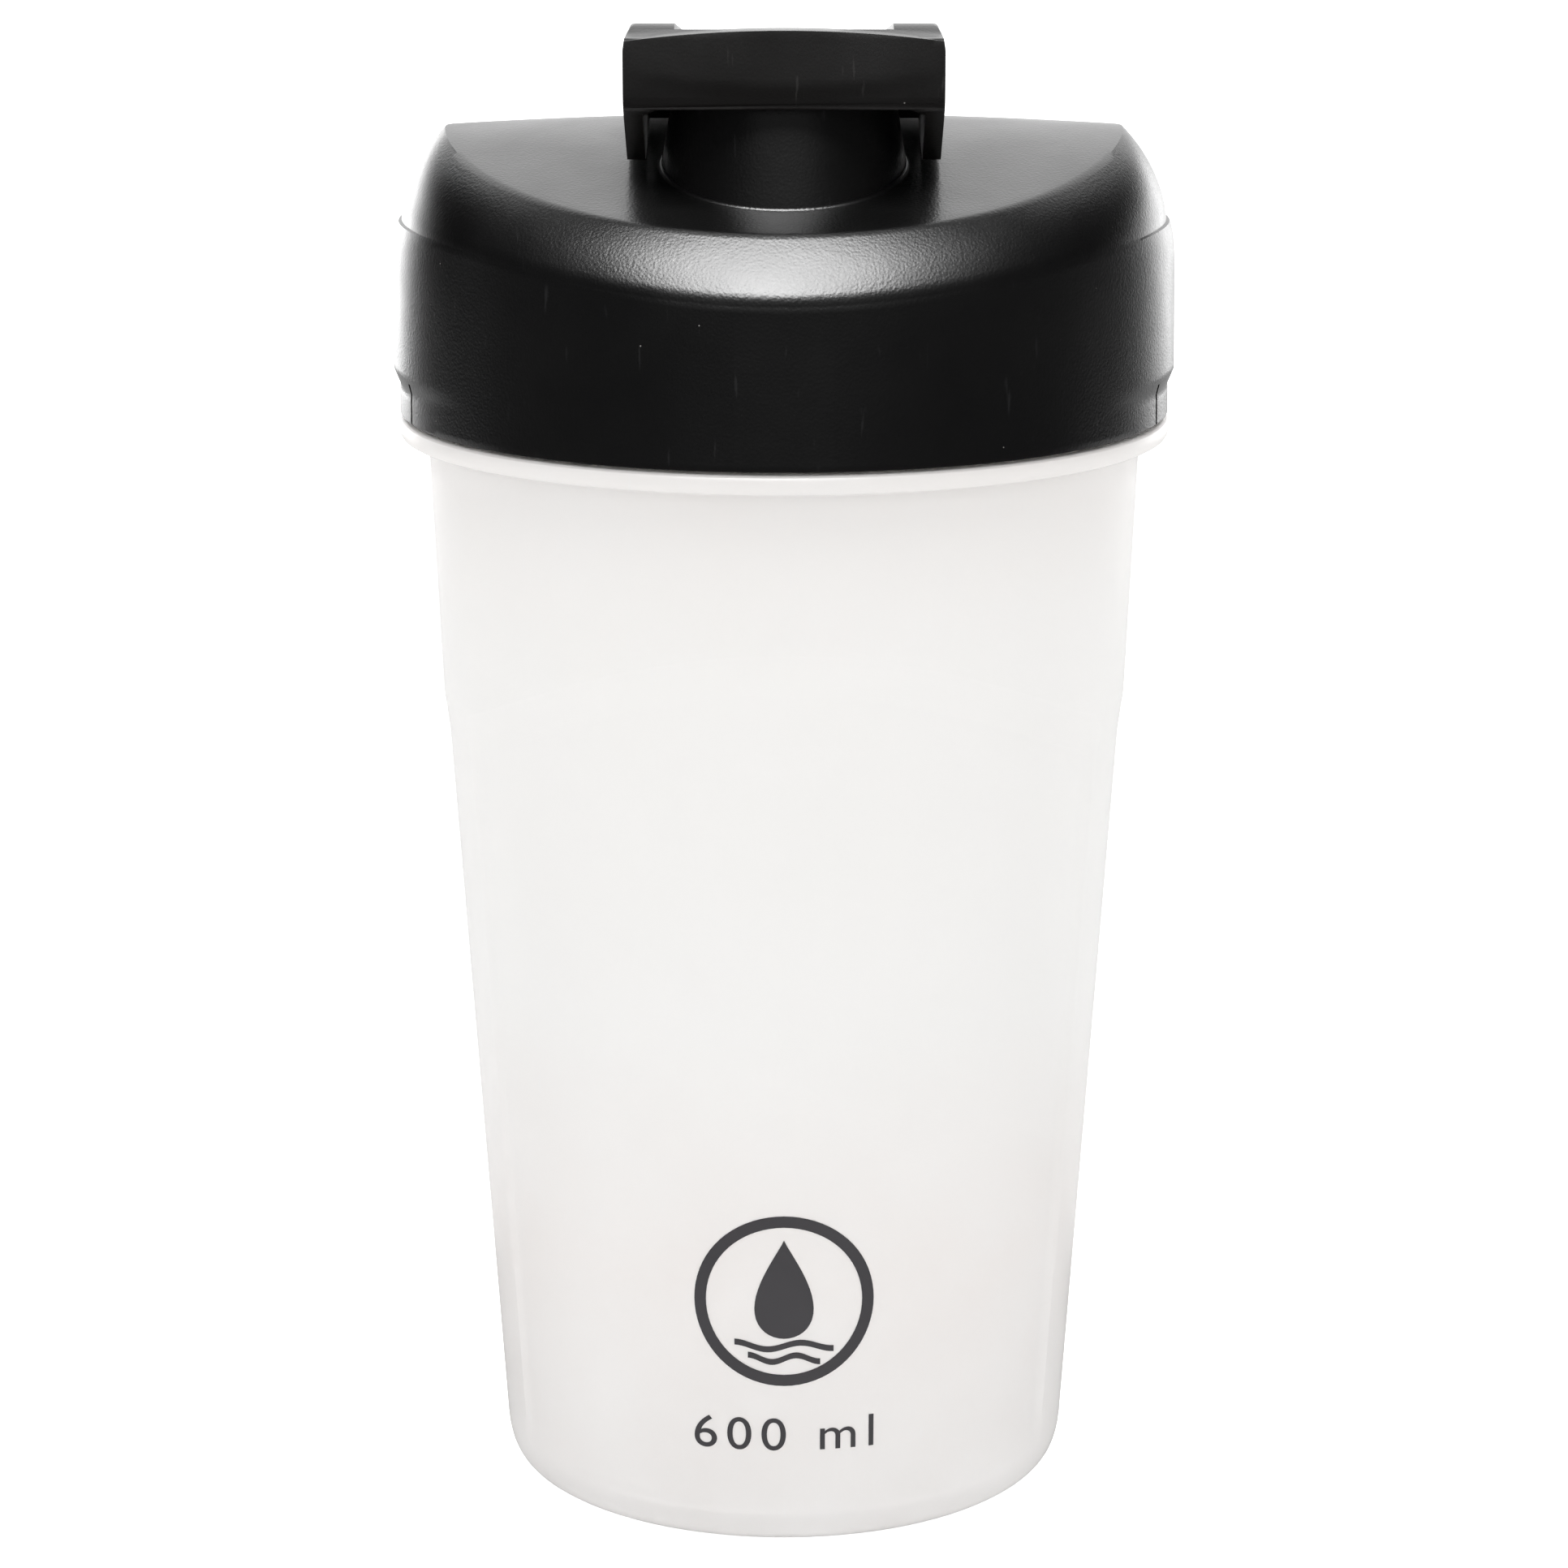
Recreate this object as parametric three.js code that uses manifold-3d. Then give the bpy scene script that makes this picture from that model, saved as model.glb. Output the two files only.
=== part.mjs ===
// Shaker bottle, 600 ml: a translucent cup, a screw lid with a drinking spout and a flip cap over it.
// Millimetres, +Z up. The bottle stands on Z = 0 with its axis on Z; the spout faces -Y.
import * as THREE from 'three';
import { mergeVertices } from 'three/addons/utils/BufferGeometryUtils.js';
import Module from 'manifold-3d';

const wasm = await Module();
wasm.setup();

// ---- Driving dimensions ----

// Cup
const cupHeightToFlange = 135.7; // underside of the flange
const cupBaseRadius = 36.4; // where the cone of the wall would meet the table
const cupTaper = 0.065; // radius gained per mm of height
const cupWall = 1.5;
const heelRadius = 3.2;
const footWidth = 3;
const footRecess = 0.8; // the underside stands clear of the table inside the foot ring
const floorThickness = 1.8;
const shoulderHeight = 98; // where the wall steps out above the grip zone
const shoulderRise = 5;
const shoulderStep = 0.35;
const upperTaper = 0.042;
const flangeReach = 3.6; // beyond the wall under it
const flangeThickness = 2.4;
const neckHeight = 16; // above the flange
const panelDepth = 0.45; // grip panels, front and back
const panelHalfAngle = 64; // degrees each side of the front
const panelBottom = 6;
const panelTop = 97; // corners of its upper edge
const panelRise = 14; // how far the arched top edge rises between its corners

// Thread, three starts
const threadLead = 16;
const threadStarts = 3;
const threadHeight = 2;
const cupThreadDepth = 0.8;
const cupThreadSpan = 85; // degrees
const cupThreadDrop = 5.2; // middle of each ridge below the rim
const lidThreadSpan = 65;
const threadPlay = 0.3; // along the axis
const threadSideGap = 0.4; // lid ridge to neck

// Lid
const lidGap = 0.3; // lid to flange, and lid to other pieces that it meets
const skirtGap = 1.2; // neck to the inside of the skirt
const skirtWall = 1.65;
const skirtDraft = 0.4;
const lidWall = 2;
const bevelAboveSeat = 6.9; // lower edge of the bevel at the sides, above the seal's seat
const crestAboveBevel = 11.7;
const bevelWidth = 5.6;
const bevelDrop = 5.2; // how much lower the bevel's outer edge is at the front than at the sides
const topDrop = 9.9; // the same for its inner edge
const ridgeEase = 0.25; // roundness of the ridge from which the top falls to front and rear
const topSag = 1.3; // fall of the ridge towards the sides
const wingReach = 1.1;
const wingHalfAngle = 40; // degrees each side of the X axis
const wingBottom = 5.9; // above the lid's lower edge
const wingChamfer = 2.4;
const slitAngle = 18; // degrees each side of the X axis
const slitWidth = 0.8;
const slitHeight = 5.3;
const plugSkirtGap = 0.4; // to the inside of the neck
const plugSkirtWall = 1.45;
const plugSkirtDepth = 7.3; // below the seal seat
const seatThickness = 1.3;
const sealThickness = 1.9;

// Spout
const spoutOffset = -20; // along Y
const spoutBaseRadius = 15.3;
const spoutTaper = 2.3; // radius lost from the base to the top
const spoutWall = 1.8;
const spoutHeight = 6.8; // top of the spout above the crest

// Hinge
const hingeY = 12;
const hingeRise = 5.2; // axis above the crest
const pinRadius = 1.5;
const pinGap = 0.15;
const bossRadius = 4.3;
const knuckleGap = 0.5; // to each arm

// Flip cap
const capSideGap = 1.2; // base of the spout to the inside of the cap
const capWall = 2.2;
const capFrontGap = 0.9; // front of the spout to the inside of the cap, where the cap ends
const capFrontDepth = 8.8; // front wall, below the crown
const capLegDepth = 16.2; // lowest point of the side walls, below the crown
const legSetback = 14.6; // that point, behind the front
const legClearance = 0.9; // side walls to the lid's top
const openingRound = 2.5;
const faceRound = 2.4; // upper corners, seen from the front
const crownThickness = 3.8; // at the front
const crownFall = 2.9; // of its upper face, from front to rear
const crownArch = 0.5; // rise of the crown between the sides
const earSetback = 6.5; // highest point of the arms, behind the front
const earRamp = 2.6;
const armWidth = 5.9;
const armRise = 0.8; // arms above the edge of the crown
const crownOverhang = 3; // behind the top of the spout

// Spout stopper
const stopperFlange = 1.4;
const stopperDepth = 4.6;
const stopperGap = 0.6; // plug to the bore, at its tip
const pegRadius = 3;
const pegLength = 3.6;

// Strainer
const strainerThickness = 1.6;
const strainerRimHeight = 3;
const strainerRimWidth = 2.4;
const strainerPitch = 10.4;
const strainerHole = 8.2;

const roundSegments = 72;
const smallSegments = 32;

// ---- Derived places ----

const degree = Math.PI / 180;
const lowerWallRadius = (z) => cupBaseRadius + cupTaper * z;
const shoulderTop = shoulderHeight + shoulderRise;
const upperWallRadius = (z) => lowerWallRadius(shoulderTop) + shoulderStep + upperTaper * (z - shoulderTop);
const flangeBottom = cupHeightToFlange;
const flangeTop = flangeBottom + flangeThickness;
const rimZ = flangeTop + neckHeight;
const neckRadius = upperWallRadius(flangeBottom) + 0.3;
const neckInnerRadius = neckRadius - cupWall;
const flangeRadius = upperWallRadius(flangeBottom) + flangeReach;

const lidBottom = flangeTop + lidGap;
const skirtInner = neckRadius + skirtGap;
const lidRadius = skirtInner + skirtWall;
const sealSeatZ = rimZ + sealThickness + 2 * lidGap;
const bevelZ = sealSeatZ + bevelAboveSeat;
const crestZ = bevelZ + crestAboveBevel;
const topRadius = lidRadius - skirtDraft - bevelWidth;
const plugSkirtOuter = neckInnerRadius - plugSkirtGap;
const plugSkirtInner = plugSkirtOuter - plugSkirtWall;

const spoutTopRadius = spoutBaseRadius - spoutTaper;
const spoutTopZ = crestZ + spoutHeight;
const hingeZ = crestZ + hingeRise;
const crownUnderZ = spoutTopZ + stopperFlange + 2 * lidGap;
const crownZ = crownUnderZ + crownThickness; // at the front
const armZ = crownZ + armRise;
const capBottomZ = crownZ - capFrontDepth;
const spoutRadiusAt = (z) =>
  THREE.MathUtils.mapLinear(z, crestZ - 8, spoutTopZ, spoutBaseRadius, spoutTopRadius);
const capInnerFront = spoutOffset - spoutRadiusAt(capBottomZ) - capFrontGap;
const capFront = capInnerFront - capWall;
const capInnerHalf = spoutBaseRadius + capSideGap;
const capHalfWidth = capInnerHalf + capWall;
const armInner = capHalfWidth - armWidth;
const knuckleHalfWidth = armInner - knuckleGap;
const crownRear = spoutOffset + spoutTopRadius + crownOverhang;

// ---- Geometry helpers ----

// A closed profile of [radius, height] pairs, outside edge going up, turned about Z.
function lathe(profile, segments = roundSegments) {
  const points = profile.map(([r, z]) => new THREE.Vector2(r, z));
  if (profile[0][0] > 0) points.push(points[0].clone());
  return new THREE.LatheGeometry(points, segments).rotateX(Math.PI / 2);
}

// An outline in the XZ plane, extruded along Y between two places.
function extrudeY(shape, y0, y1, curveSegments = 12) {
  const geometry = new THREE.ExtrudeGeometry(shape, { depth: y1 - y0, bevelEnabled: false, curveSegments });
  return geometry.rotateX(Math.PI / 2).translate(0, y1, 0);
}

// An outline in the YZ plane, extruded along X between two places.
function extrudeX(shape, x0, x1, curveSegments = 12) {
  const geometry = new THREE.ExtrudeGeometry(shape, { depth: x1 - x0, bevelEnabled: false, curveSegments });
  return geometry.rotateZ(Math.PI / 2).rotateY(Math.PI / 2).translate(x0, 0, 0);
}

function box([x0, y0, z0], [x1, y1, z1]) {
  const geometry = new THREE.BoxGeometry(x1 - x0, y1 - y0, z1 - z0);
  return geometry.translate((x0 + x1) / 2, (y0 + y1) / 2, (z0 + z1) / 2);
}

function solid(geometry) {
  const bare = geometry.clone();
  bare.deleteAttribute('normal');
  bare.deleteAttribute('uv');
  const merged = mergeVertices(bare, 1e-4);
  const corners = merged.index.array;
  const triVerts = [];
  for (let i = 0; i < corners.length; i += 3) {
    const [a, b, c] = [corners[i], corners[i + 1], corners[i + 2]];
    if (a !== b && b !== c && c !== a) triVerts.push(a, b, c);
  }
  return new wasm.Manifold(new wasm.Mesh({
    numProp: 3,
    vertProperties: new Float32Array(merged.attributes.position.array),
    triVerts: new Uint32Array(triVerts),
  }));
}

function geometryOf(manifold) {
  const mesh = manifold.getMesh();
  const geometry = new THREE.BufferGeometry();
  geometry.setAttribute('position', new THREE.BufferAttribute(new Float32Array(mesh.vertProperties), 3));
  geometry.setIndex(new THREE.BufferAttribute(new Uint32Array(mesh.triVerts), 1));
  return geometry;
}

// Moves each corner of a geometry by a rule on its radius, angle from the front and height.
function reshape(geometry, rule) {
  const position = geometry.attributes.position;
  for (let i = 0; i < position.count; i += 1) {
    const [x, y, z] = [position.getX(i), position.getY(i), position.getZ(i)];
    const [radius, angle, height] = rule(Math.hypot(x, y), Math.atan2(x, -y), z);
    position.setXYZ(i, radius * Math.sin(angle), -radius * Math.cos(angle), height);
  }
  return geometry;
}

// One helical ridge: root and crest radii, span in degrees, height of its middle.
function threadRidge(root, crest, middleAngle, span, middleZ) {
  const [inner, outer] = [Math.min(root, crest), Math.max(root, crest)];
  const steps = (span * roundSegments) / 360;
  const ridge = new THREE.BoxGeometry(outer - inner, span, threadHeight, 1, steps, 1);
  const position = ridge.attributes.position;
  for (let i = 0; i < position.count; i += 1) {
    const radius = position.getX(i) + (inner + outer) / 2;
    const turn = position.getY(i);
    const towardsCrest = Math.abs(radius - root) / (outer - inner);
    const height = position.getZ(i) * (1 - 0.4 * towardsCrest);
    const angle = (middleAngle + turn) * degree;
    const z = middleZ + height + (threadLead * turn) / 360;
    position.setXYZ(i, radius * Math.cos(angle), radius * Math.sin(angle), z);
  }
  return solid(ridge);
}

function threads(root, crest, span, middleZ) {
  return Array.from({ length: threadStarts }, (_, k) =>
    threadRidge(root, crest, (360 * k) / threadStarts + 30, span, middleZ));
}

function mesh(name, geometry, color, roughness, extra = {}) {
  const material = new THREE.MeshStandardMaterial({ color, roughness, metalness: 0, ...extra });
  const result = new THREE.Mesh(geometry, material);
  result.name = name;
  return result;
}

const blackPlastic = 0x1a1a1c;

// ---- Cup ----

function cupProfile() {
  const heel = Array.from({ length: 5 }, (_, i) => {
    const turn = (i / 4) * 80 * degree;
    const outer = lowerWallRadius(heelRadius);
    return [outer - heelRadius * (1 - Math.sin(turn)) * 0.8, heelRadius * (1 - Math.cos(turn))];
  });
  const floorZ = footRecess + floorThickness;
  const innerAt = (z) => lowerWallRadius(z) - cupWall;
  const flangeEdge = flangeThickness * 0.3;
  return [
    ...heel,
    [lowerWallRadius(shoulderHeight), shoulderHeight],
    [upperWallRadius(shoulderTop), shoulderTop],
    [upperWallRadius(flangeBottom - 2), flangeBottom - 2],
    [upperWallRadius(flangeBottom) + 0.5, flangeBottom],
    [flangeRadius - flangeEdge, flangeBottom],
    [flangeRadius, flangeBottom + flangeEdge],
    [flangeRadius, flangeTop - flangeEdge],
    [flangeRadius - flangeEdge, flangeTop],
    [neckRadius, flangeTop],
    [neckRadius, rimZ - 0.4],
    [neckRadius - 0.4, rimZ],
    [neckInnerRadius + 0.4, rimZ],
    [neckInnerRadius, rimZ - 0.4],
    [upperWallRadius(flangeBottom) - cupWall, flangeBottom],
    [upperWallRadius(shoulderTop) - cupWall, shoulderTop],
    [innerAt(shoulderHeight), shoulderHeight],
    [innerAt(floorZ + 4), floorZ + 4],
    [innerAt(floorZ) - 1.2, floorZ + 1.2],
    [innerAt(floorZ) - 4, floorZ],
    [0, floorZ],
    [0, footRecess],
    [heel[0][0] - footWidth - footRecess, footRecess],
    [heel[0][0] - footWidth, 0],
  ];
}

function panelOutline() {
  const bottomX = lowerWallRadius(panelBottom) * Math.sin(panelHalfAngle * degree);
  const topX = lowerWallRadius(panelTop) * Math.sin(panelHalfAngle * degree);
  const shape = new THREE.Shape();
  shape.moveTo(-bottomX, panelBottom);
  shape.lineTo(bottomX, panelBottom);
  shape.lineTo(topX, panelTop);
  shape.quadraticCurveTo(0, panelTop + 2 * panelRise, -topX, panelTop);
  shape.closePath();
  return shape;
}

function panelSkin() {
  const top = panelTop + panelRise + 2.5;
  return lathe([
    [lowerWallRadius(1) - panelDepth, 1],
    [lowerWallRadius(1) + 5, 1],
    [lowerWallRadius(top) + 5, top],
    [lowerWallRadius(top) - panelDepth, top],
  ]);
}

function makeCup() {
  const skin = solid(panelSkin());
  const front = solid(extrudeY(panelOutline(), -60, -5, 11));
  const back = solid(extrudeY(panelOutline(), 5, 60, 11));
  let body = solid(lathe(cupProfile()));
  body = body.subtract(skin.intersect(front)).subtract(skin.intersect(back));
  const ridgeZ = rimZ - cupThreadDrop;
  for (const ridge of threads(neckRadius - 0.5, neckRadius + cupThreadDepth, cupThreadSpan, ridgeZ)) {
    body = body.add(ridge);
  }
  return mesh('cup', geometryOf(body), 0xeeebe8, 0.38, { transparent: true, opacity: 0.6 });
}

// ---- Lid ----

// How far the lid's outside lies below the top of its ridge, on the top face and across the bevel.
function fallAt(radius, angle) {
  const inside = Math.min(radius, topRadius) / topRadius;
  const along = inside * Math.cos(angle);
  const roof = (Math.hypot(along, ridgeEase) - ridgeEase) / (Math.hypot(1, ridgeEase) - ridgeEase);
  const top = topDrop * roof + topSag * (inside * Math.sin(angle)) ** 2;
  const acrossBevel = THREE.MathUtils.clamp((radius - topRadius) / bevelWidth, 0, 1);
  return THREE.MathUtils.lerp(top, bevelDrop * Math.abs(Math.cos(angle)) ** 3, acrossBevel);
}

// Lowers what lies above fromZ to follow the barrel-shaped top, but never under lowestZ.
function drape(geometry, fromZ, lowestZ = fromZ - 20) {
  return reshape(geometry, (radius, angle, z) => {
    if (z < fromZ) return [radius, angle, z];
    return [radius, angle, Math.max(z - fallAt(radius, angle), lowestZ)];
  });
}

function wingShape(angle) {
  const offAxis = Math.abs(Math.abs(angle) - Math.PI / 2) / (wingHalfAngle * degree);
  return offAxis >= 1 ? 0 : 0.5 + 0.5 * Math.cos(Math.PI * offAxis);
}

function lidOuter() {
  const steps = 5;
  const top = Array.from({ length: steps }, (_, i) => {
    return [topRadius * (1 - (i + 1) / steps), crestZ];
  });
  const wingTop = bevelZ - 3;
  const skirtTopRadius = lidRadius - skirtDraft;
  const profile = [
    [0, lidBottom],
    [lidRadius, lidBottom],
    [lidRadius, lidBottom + wingBottom - wingChamfer],
    [lidRadius - 0.1, lidBottom + wingBottom],
    [skirtTopRadius + 0.1, wingTop],
    [skirtTopRadius, bevelZ - 0.6],
    [skirtTopRadius - 0.5, bevelZ + 0.9],
    [topRadius + bevelWidth * 0.45, crestZ - 4.2],
    [topRadius + 0.6, crestZ - 0.65],
    [topRadius - 0.8, crestZ - 0.03],
    ...top,
  ];
  const wingSpan = [lidBottom + wingBottom - 0.1, wingTop + 0.1];
  const draped = drape(lathe(profile), bevelZ - 1);
  return reshape(draped, (radius, angle, z) => {
    const onWing = radius > skirtInner && z > wingSpan[0] && z < wingSpan[1];
    const lower = radius > skirtInner && z <= wingSpan[0];
    const reach = onWing ? wingReach : lower ? 0.3 : 0;
    return [radius + reach * wingShape(angle), angle, z];
  });
}

function lidInner() {
  const ceiling = crestZ - lidWall;
  const cornerRadius = skirtInner - 1.1;
  const steps = 4;
  const underTop = Array.from({ length: steps }, (_, i) => {
    return [(topRadius - 1) * (1 - (i + 1) / steps), ceiling];
  });
  return drape(lathe([
    [0, lidBottom - 1],
    [skirtInner, lidBottom - 1],
    [skirtInner, sealSeatZ],
    [plugSkirtOuter, sealSeatZ],
    [plugSkirtOuter, sealSeatZ - plugSkirtDepth],
    [plugSkirtInner, sealSeatZ - plugSkirtDepth],
    [plugSkirtInner, sealSeatZ + seatThickness],
    [cornerRadius, sealSeatZ + seatThickness],
    [cornerRadius, bevelZ - 0.3],
    [topRadius - 1, ceiling],
    ...underTop,
  ]), bevelZ - 1, sealSeatZ + seatThickness + 0.4);
}

function makeLid() {
  const spoutFoot = crestZ - 12;
  const halfStep = (2 * Math.PI) / roundSegments; // turns the spout's corners off the plane of symmetry
  const spout = new THREE.CylinderGeometry(
    spoutTopRadius, spoutRadiusAt(spoutFoot), spoutTopZ - spoutFoot, roundSegments / 2)
    .rotateY(halfStep).rotateX(Math.PI / 2).translate(0, spoutOffset, (spoutTopZ + spoutFoot) / 2);
  const boreFoot = crestZ - 14;
  const bore = new THREE.CylinderGeometry(
    spoutTopRadius - spoutWall, spoutRadiusAt(boreFoot) - spoutWall,
    spoutTopZ + 1 - boreFoot, roundSegments / 2)
    .rotateY(halfStep).rotateX(Math.PI / 2).translate(0, spoutOffset, (spoutTopZ + 1 + boreFoot) / 2);

  const knuckle = new THREE.Shape();
  knuckle.moveTo(hingeY - bossRadius - 1.5, crestZ - 1.2);
  knuckle.lineTo(hingeY + bossRadius + 1.5, crestZ - 3.9);
  knuckle.lineTo(hingeY + bossRadius, hingeZ);
  knuckle.absarc(hingeY, hingeZ, bossRadius, 0, Math.PI, false);
  knuckle.closePath();

  let body = solid(lidOuter()).add(solid(spout));
  body = body.add(solid(extrudeX(knuckle, -knuckleHalfWidth, knuckleHalfWidth)));
  body = body.subtract(solid(lidInner())).subtract(solid(bore));
  body = body.subtract(solid(pinCylinder(pinRadius + pinGap, capHalfWidth + 1)));

  const slitTop = lidBottom + slitHeight;
  for (const side of [0, 180]) {
    for (const off of [-slitAngle, slitAngle]) {
      const slit = box(
        [skirtInner - 1, -slitWidth / 2, lidBottom - 1], [lidRadius + 4, slitWidth / 2, slitTop]);
      body = body.subtract(solid(slit.rotateZ((side + off) * degree)));
    }
  }
  const ridgeZ = rimZ - cupThreadDrop - threadHeight - threadPlay;
  for (const ridge of threads(skirtInner + 0.4, neckRadius + threadSideGap, lidThreadSpan, ridgeZ)) {
    body = body.add(ridge);
  }
  return mesh('lid', geometryOf(body), blackPlastic, 0.42);
}

// ---- Hinge pin ----

function pinCylinder(radius, halfLength) {
  return new THREE.CylinderGeometry(radius, radius, 2 * halfLength, smallSegments)
    .rotateZ(Math.PI / 2).translate(0, hingeY, hingeZ);
}

function makeHingePin() {
  return mesh('hinge_pin', pinCylinder(pinRadius, capHalfWidth - 1.2), blackPlastic, 0.4);
}

// ---- Flip cap ----

// The lid's top under the side walls of the cap.
const lidUnderLeg = (y) => crestZ - fallAt(Math.hypot(capHalfWidth, y), Math.atan2(capHalfWidth, y));

function capSideOutline() {
  const shape = new THREE.Shape();
  const rimZ = crownZ - crownArch;
  const legY = capFront + legSetback;
  shape.moveTo(capFront, capBottomZ + 1);
  shape.lineTo(capFront + 0.8, capBottomZ);
  shape.lineTo(legY - 1, crownZ - capLegDepth);
  shape.lineTo(legY + 1, lidUnderLeg(legY + 1) + legClearance);
  for (const y of [-14, -7, 0]) shape.lineTo(y, lidUnderLeg(y) + legClearance);
  shape.lineTo(hingeY, hingeZ - bossRadius);
  shape.absarc(hingeY, hingeZ, bossRadius, -Math.PI / 2, Math.PI / 2, false);
  shape.lineTo(capFront + earSetback, armZ);
  shape.lineTo(capFront + earSetback - earRamp, rimZ);
  shape.lineTo(capFront + 1.2, rimZ);
  shape.quadraticCurveTo(capFront, rimZ, capFront, rimZ - 1.2);
  shape.closePath();
  return shape;
}

function makeFlipCap() {
  // Front view: straight sides, rounded upper corners.
  const face = new THREE.Shape();
  face.moveTo(-capHalfWidth, 0);
  face.lineTo(capHalfWidth, 0);
  face.lineTo(capHalfWidth, armZ - faceRound);
  face.quadraticCurveTo(capHalfWidth, armZ, capHalfWidth - faceRound, armZ);
  face.lineTo(faceRound - capHalfWidth, armZ);
  face.quadraticCurveTo(-capHalfWidth, armZ, -capHalfWidth, armZ - faceRound);
  face.closePath();

  // Everything above the sloping crown between the arms.
  const overCrown = new THREE.Shape();
  overCrown.moveTo(-armInner, 10);
  overCrown.lineTo(-armInner, -crownArch);
  overCrown.quadraticCurveTo(0, crownArch, armInner, -crownArch);
  overCrown.lineTo(armInner, 10);
  overCrown.closePath();
  const crownCut = extrudeY(overCrown, -1, 60)
    .rotateX(-Math.atan2(crownFall, crownRear - capFront)).translate(0, capFront, crownZ);

  // What shows the spout under the front wall.
  const opening = new THREE.Shape();
  opening.moveTo(-capInnerHalf, 0);
  opening.lineTo(capInnerHalf, 0);
  opening.lineTo(capInnerHalf, capBottomZ - openingRound);
  opening.quadraticCurveTo(capInnerHalf, capBottomZ, capInnerHalf - openingRound, capBottomZ);
  opening.lineTo(openingRound - capInnerHalf, capBottomZ);
  opening.quadraticCurveTo(-capInnerHalf, capBottomZ, -capInnerHalf, capBottomZ - openingRound);
  opening.closePath();

  let body = solid(extrudeX(capSideOutline(), -capHalfWidth, capHalfWidth));
  body = body.intersect(solid(extrudeY(face, capFront - 1, hingeY + bossRadius + 1)));
  body = body.subtract(solid(crownCut));
  body = body.subtract(solid(extrudeY(opening, capFront - 1, capInnerFront + 1)));
  body = body.subtract(solid(box(
    [-capInnerHalf, capInnerFront, 0], [capInnerHalf, crownRear - capWall, crownUnderZ])));
  body = body.subtract(solid(box([-armInner, crownRear, 0], [armInner, 60, crownZ + 10])));
  body = body.subtract(solid(box(
    [-armInner, crownRear - capWall - 1, 0], [armInner, crownRear + 1, crownUnderZ])));
  body = body.add(solid(new THREE.CylinderGeometry(pegRadius, pegRadius, pegLength + 0.5, smallSegments)
    .rotateX(Math.PI / 2).translate(0, spoutOffset, crownUnderZ - pegLength / 2 + 0.25)));
  body = body.subtract(solid(pinCylinder(pinRadius + pinGap, capHalfWidth - 0.9)));
  return mesh('flip_cap', geometryOf(body), 0x211f20, 0.46);
}

// ---- Spout stopper ----

function makeStopper() {
  const topZ = crownUnderZ - lidGap;
  const flangeZ = spoutTopZ + lidGap;
  const plugRadius = spoutTopRadius - spoutWall - 0.3;
  const tipZ = flangeZ - stopperDepth;
  const geometry = lathe([
    [0, tipZ],
    [plugRadius - stopperGap - 0.8, tipZ],
    [plugRadius - stopperGap, tipZ + 0.8],
    [plugRadius, flangeZ],
    [spoutTopRadius - 0.3, flangeZ],
    [spoutTopRadius - 0.3, topZ],
    [pegRadius + lidGap, topZ],
    [pegRadius + lidGap, crownUnderZ - pegLength - lidGap],
    [0, crownUnderZ - pegLength - lidGap],
  ], smallSegments).translate(0, spoutOffset, 0);
  return mesh('spout_stopper', geometry, 0x2b2b2d, 0.6);
}

// ---- Lid seal ----

function makeSeal() {
  const z0 = rimZ + lidGap;
  const z1 = z0 + sealThickness;
  const inner = plugSkirtOuter + lidGap;
  const outer = skirtInner - 0.7;
  return mesh('lid_seal', lathe([[inner, z0], [outer, z0], [outer, z1], [inner, z1]]), 0xc9c9c6, 0.55);
}

// ---- Strainer ----

function makeStrainer() {
  const outer = plugSkirtInner - lidGap;
  const inner = outer - strainerRimWidth;
  const bottom = sealSeatZ - plugSkirtDepth + 0.6;
  const plateTop = bottom + strainerThickness;
  const rimTop = bottom + strainerRimHeight;
  let body = solid(lathe([[0, bottom], [outer, bottom], [outer, rimTop], [inner, rimTop], [inner, plateTop],
    [0, plateTop]]));
  const reach = Math.floor(outer / strainerPitch);
  const half = strainerHole / 2;
  for (let i = -reach; i <= reach; i += 1) {
    for (let j = -reach; j <= reach; j += 1) {
      const [x, y] = [i * strainerPitch, j * strainerPitch];
      if (Math.hypot(Math.abs(x) + half, Math.abs(y) + half) > inner - 0.4) continue;
      body = body.subtract(solid(box([x - half, y - half, bottom - 1], [x + half, y + half, plateTop + 1])));
    }
  }
  return mesh('strainer', geometryOf(body), 0xe4e2df, 0.5);
}

const group = new THREE.Group();
group.add(makeCup(), makeSeal(), makeStrainer(), makeLid(), makeHingePin(), makeFlipCap(), makeStopper());

export default group;
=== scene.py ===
import math

import bmesh
import bpy
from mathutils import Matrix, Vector


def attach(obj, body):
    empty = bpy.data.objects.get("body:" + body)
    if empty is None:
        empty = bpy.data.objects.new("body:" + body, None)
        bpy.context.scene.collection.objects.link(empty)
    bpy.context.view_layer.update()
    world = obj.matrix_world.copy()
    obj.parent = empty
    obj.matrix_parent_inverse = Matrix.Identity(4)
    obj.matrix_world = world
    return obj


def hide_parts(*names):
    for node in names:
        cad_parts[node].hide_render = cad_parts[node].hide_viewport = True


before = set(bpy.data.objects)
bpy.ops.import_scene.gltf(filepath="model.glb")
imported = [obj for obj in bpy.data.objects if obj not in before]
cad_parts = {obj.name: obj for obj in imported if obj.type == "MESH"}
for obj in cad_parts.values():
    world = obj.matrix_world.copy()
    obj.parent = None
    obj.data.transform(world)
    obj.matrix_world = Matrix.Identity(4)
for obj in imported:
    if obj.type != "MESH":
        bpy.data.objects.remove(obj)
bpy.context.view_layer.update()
print("frame loaded:", ", ".join(sorted(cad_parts)))

mm = 0.001
degree = math.pi / 180


# small helpers, all in millimetres

def clamp(value, low=0.0, high=1.0):
    return min(max(value, low), high)


def smooth(value):
    t = clamp(value)
    return t * t * (3 - 2 * t)


def lerp(a, b, t):
    return a + (b - a) * t


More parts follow.
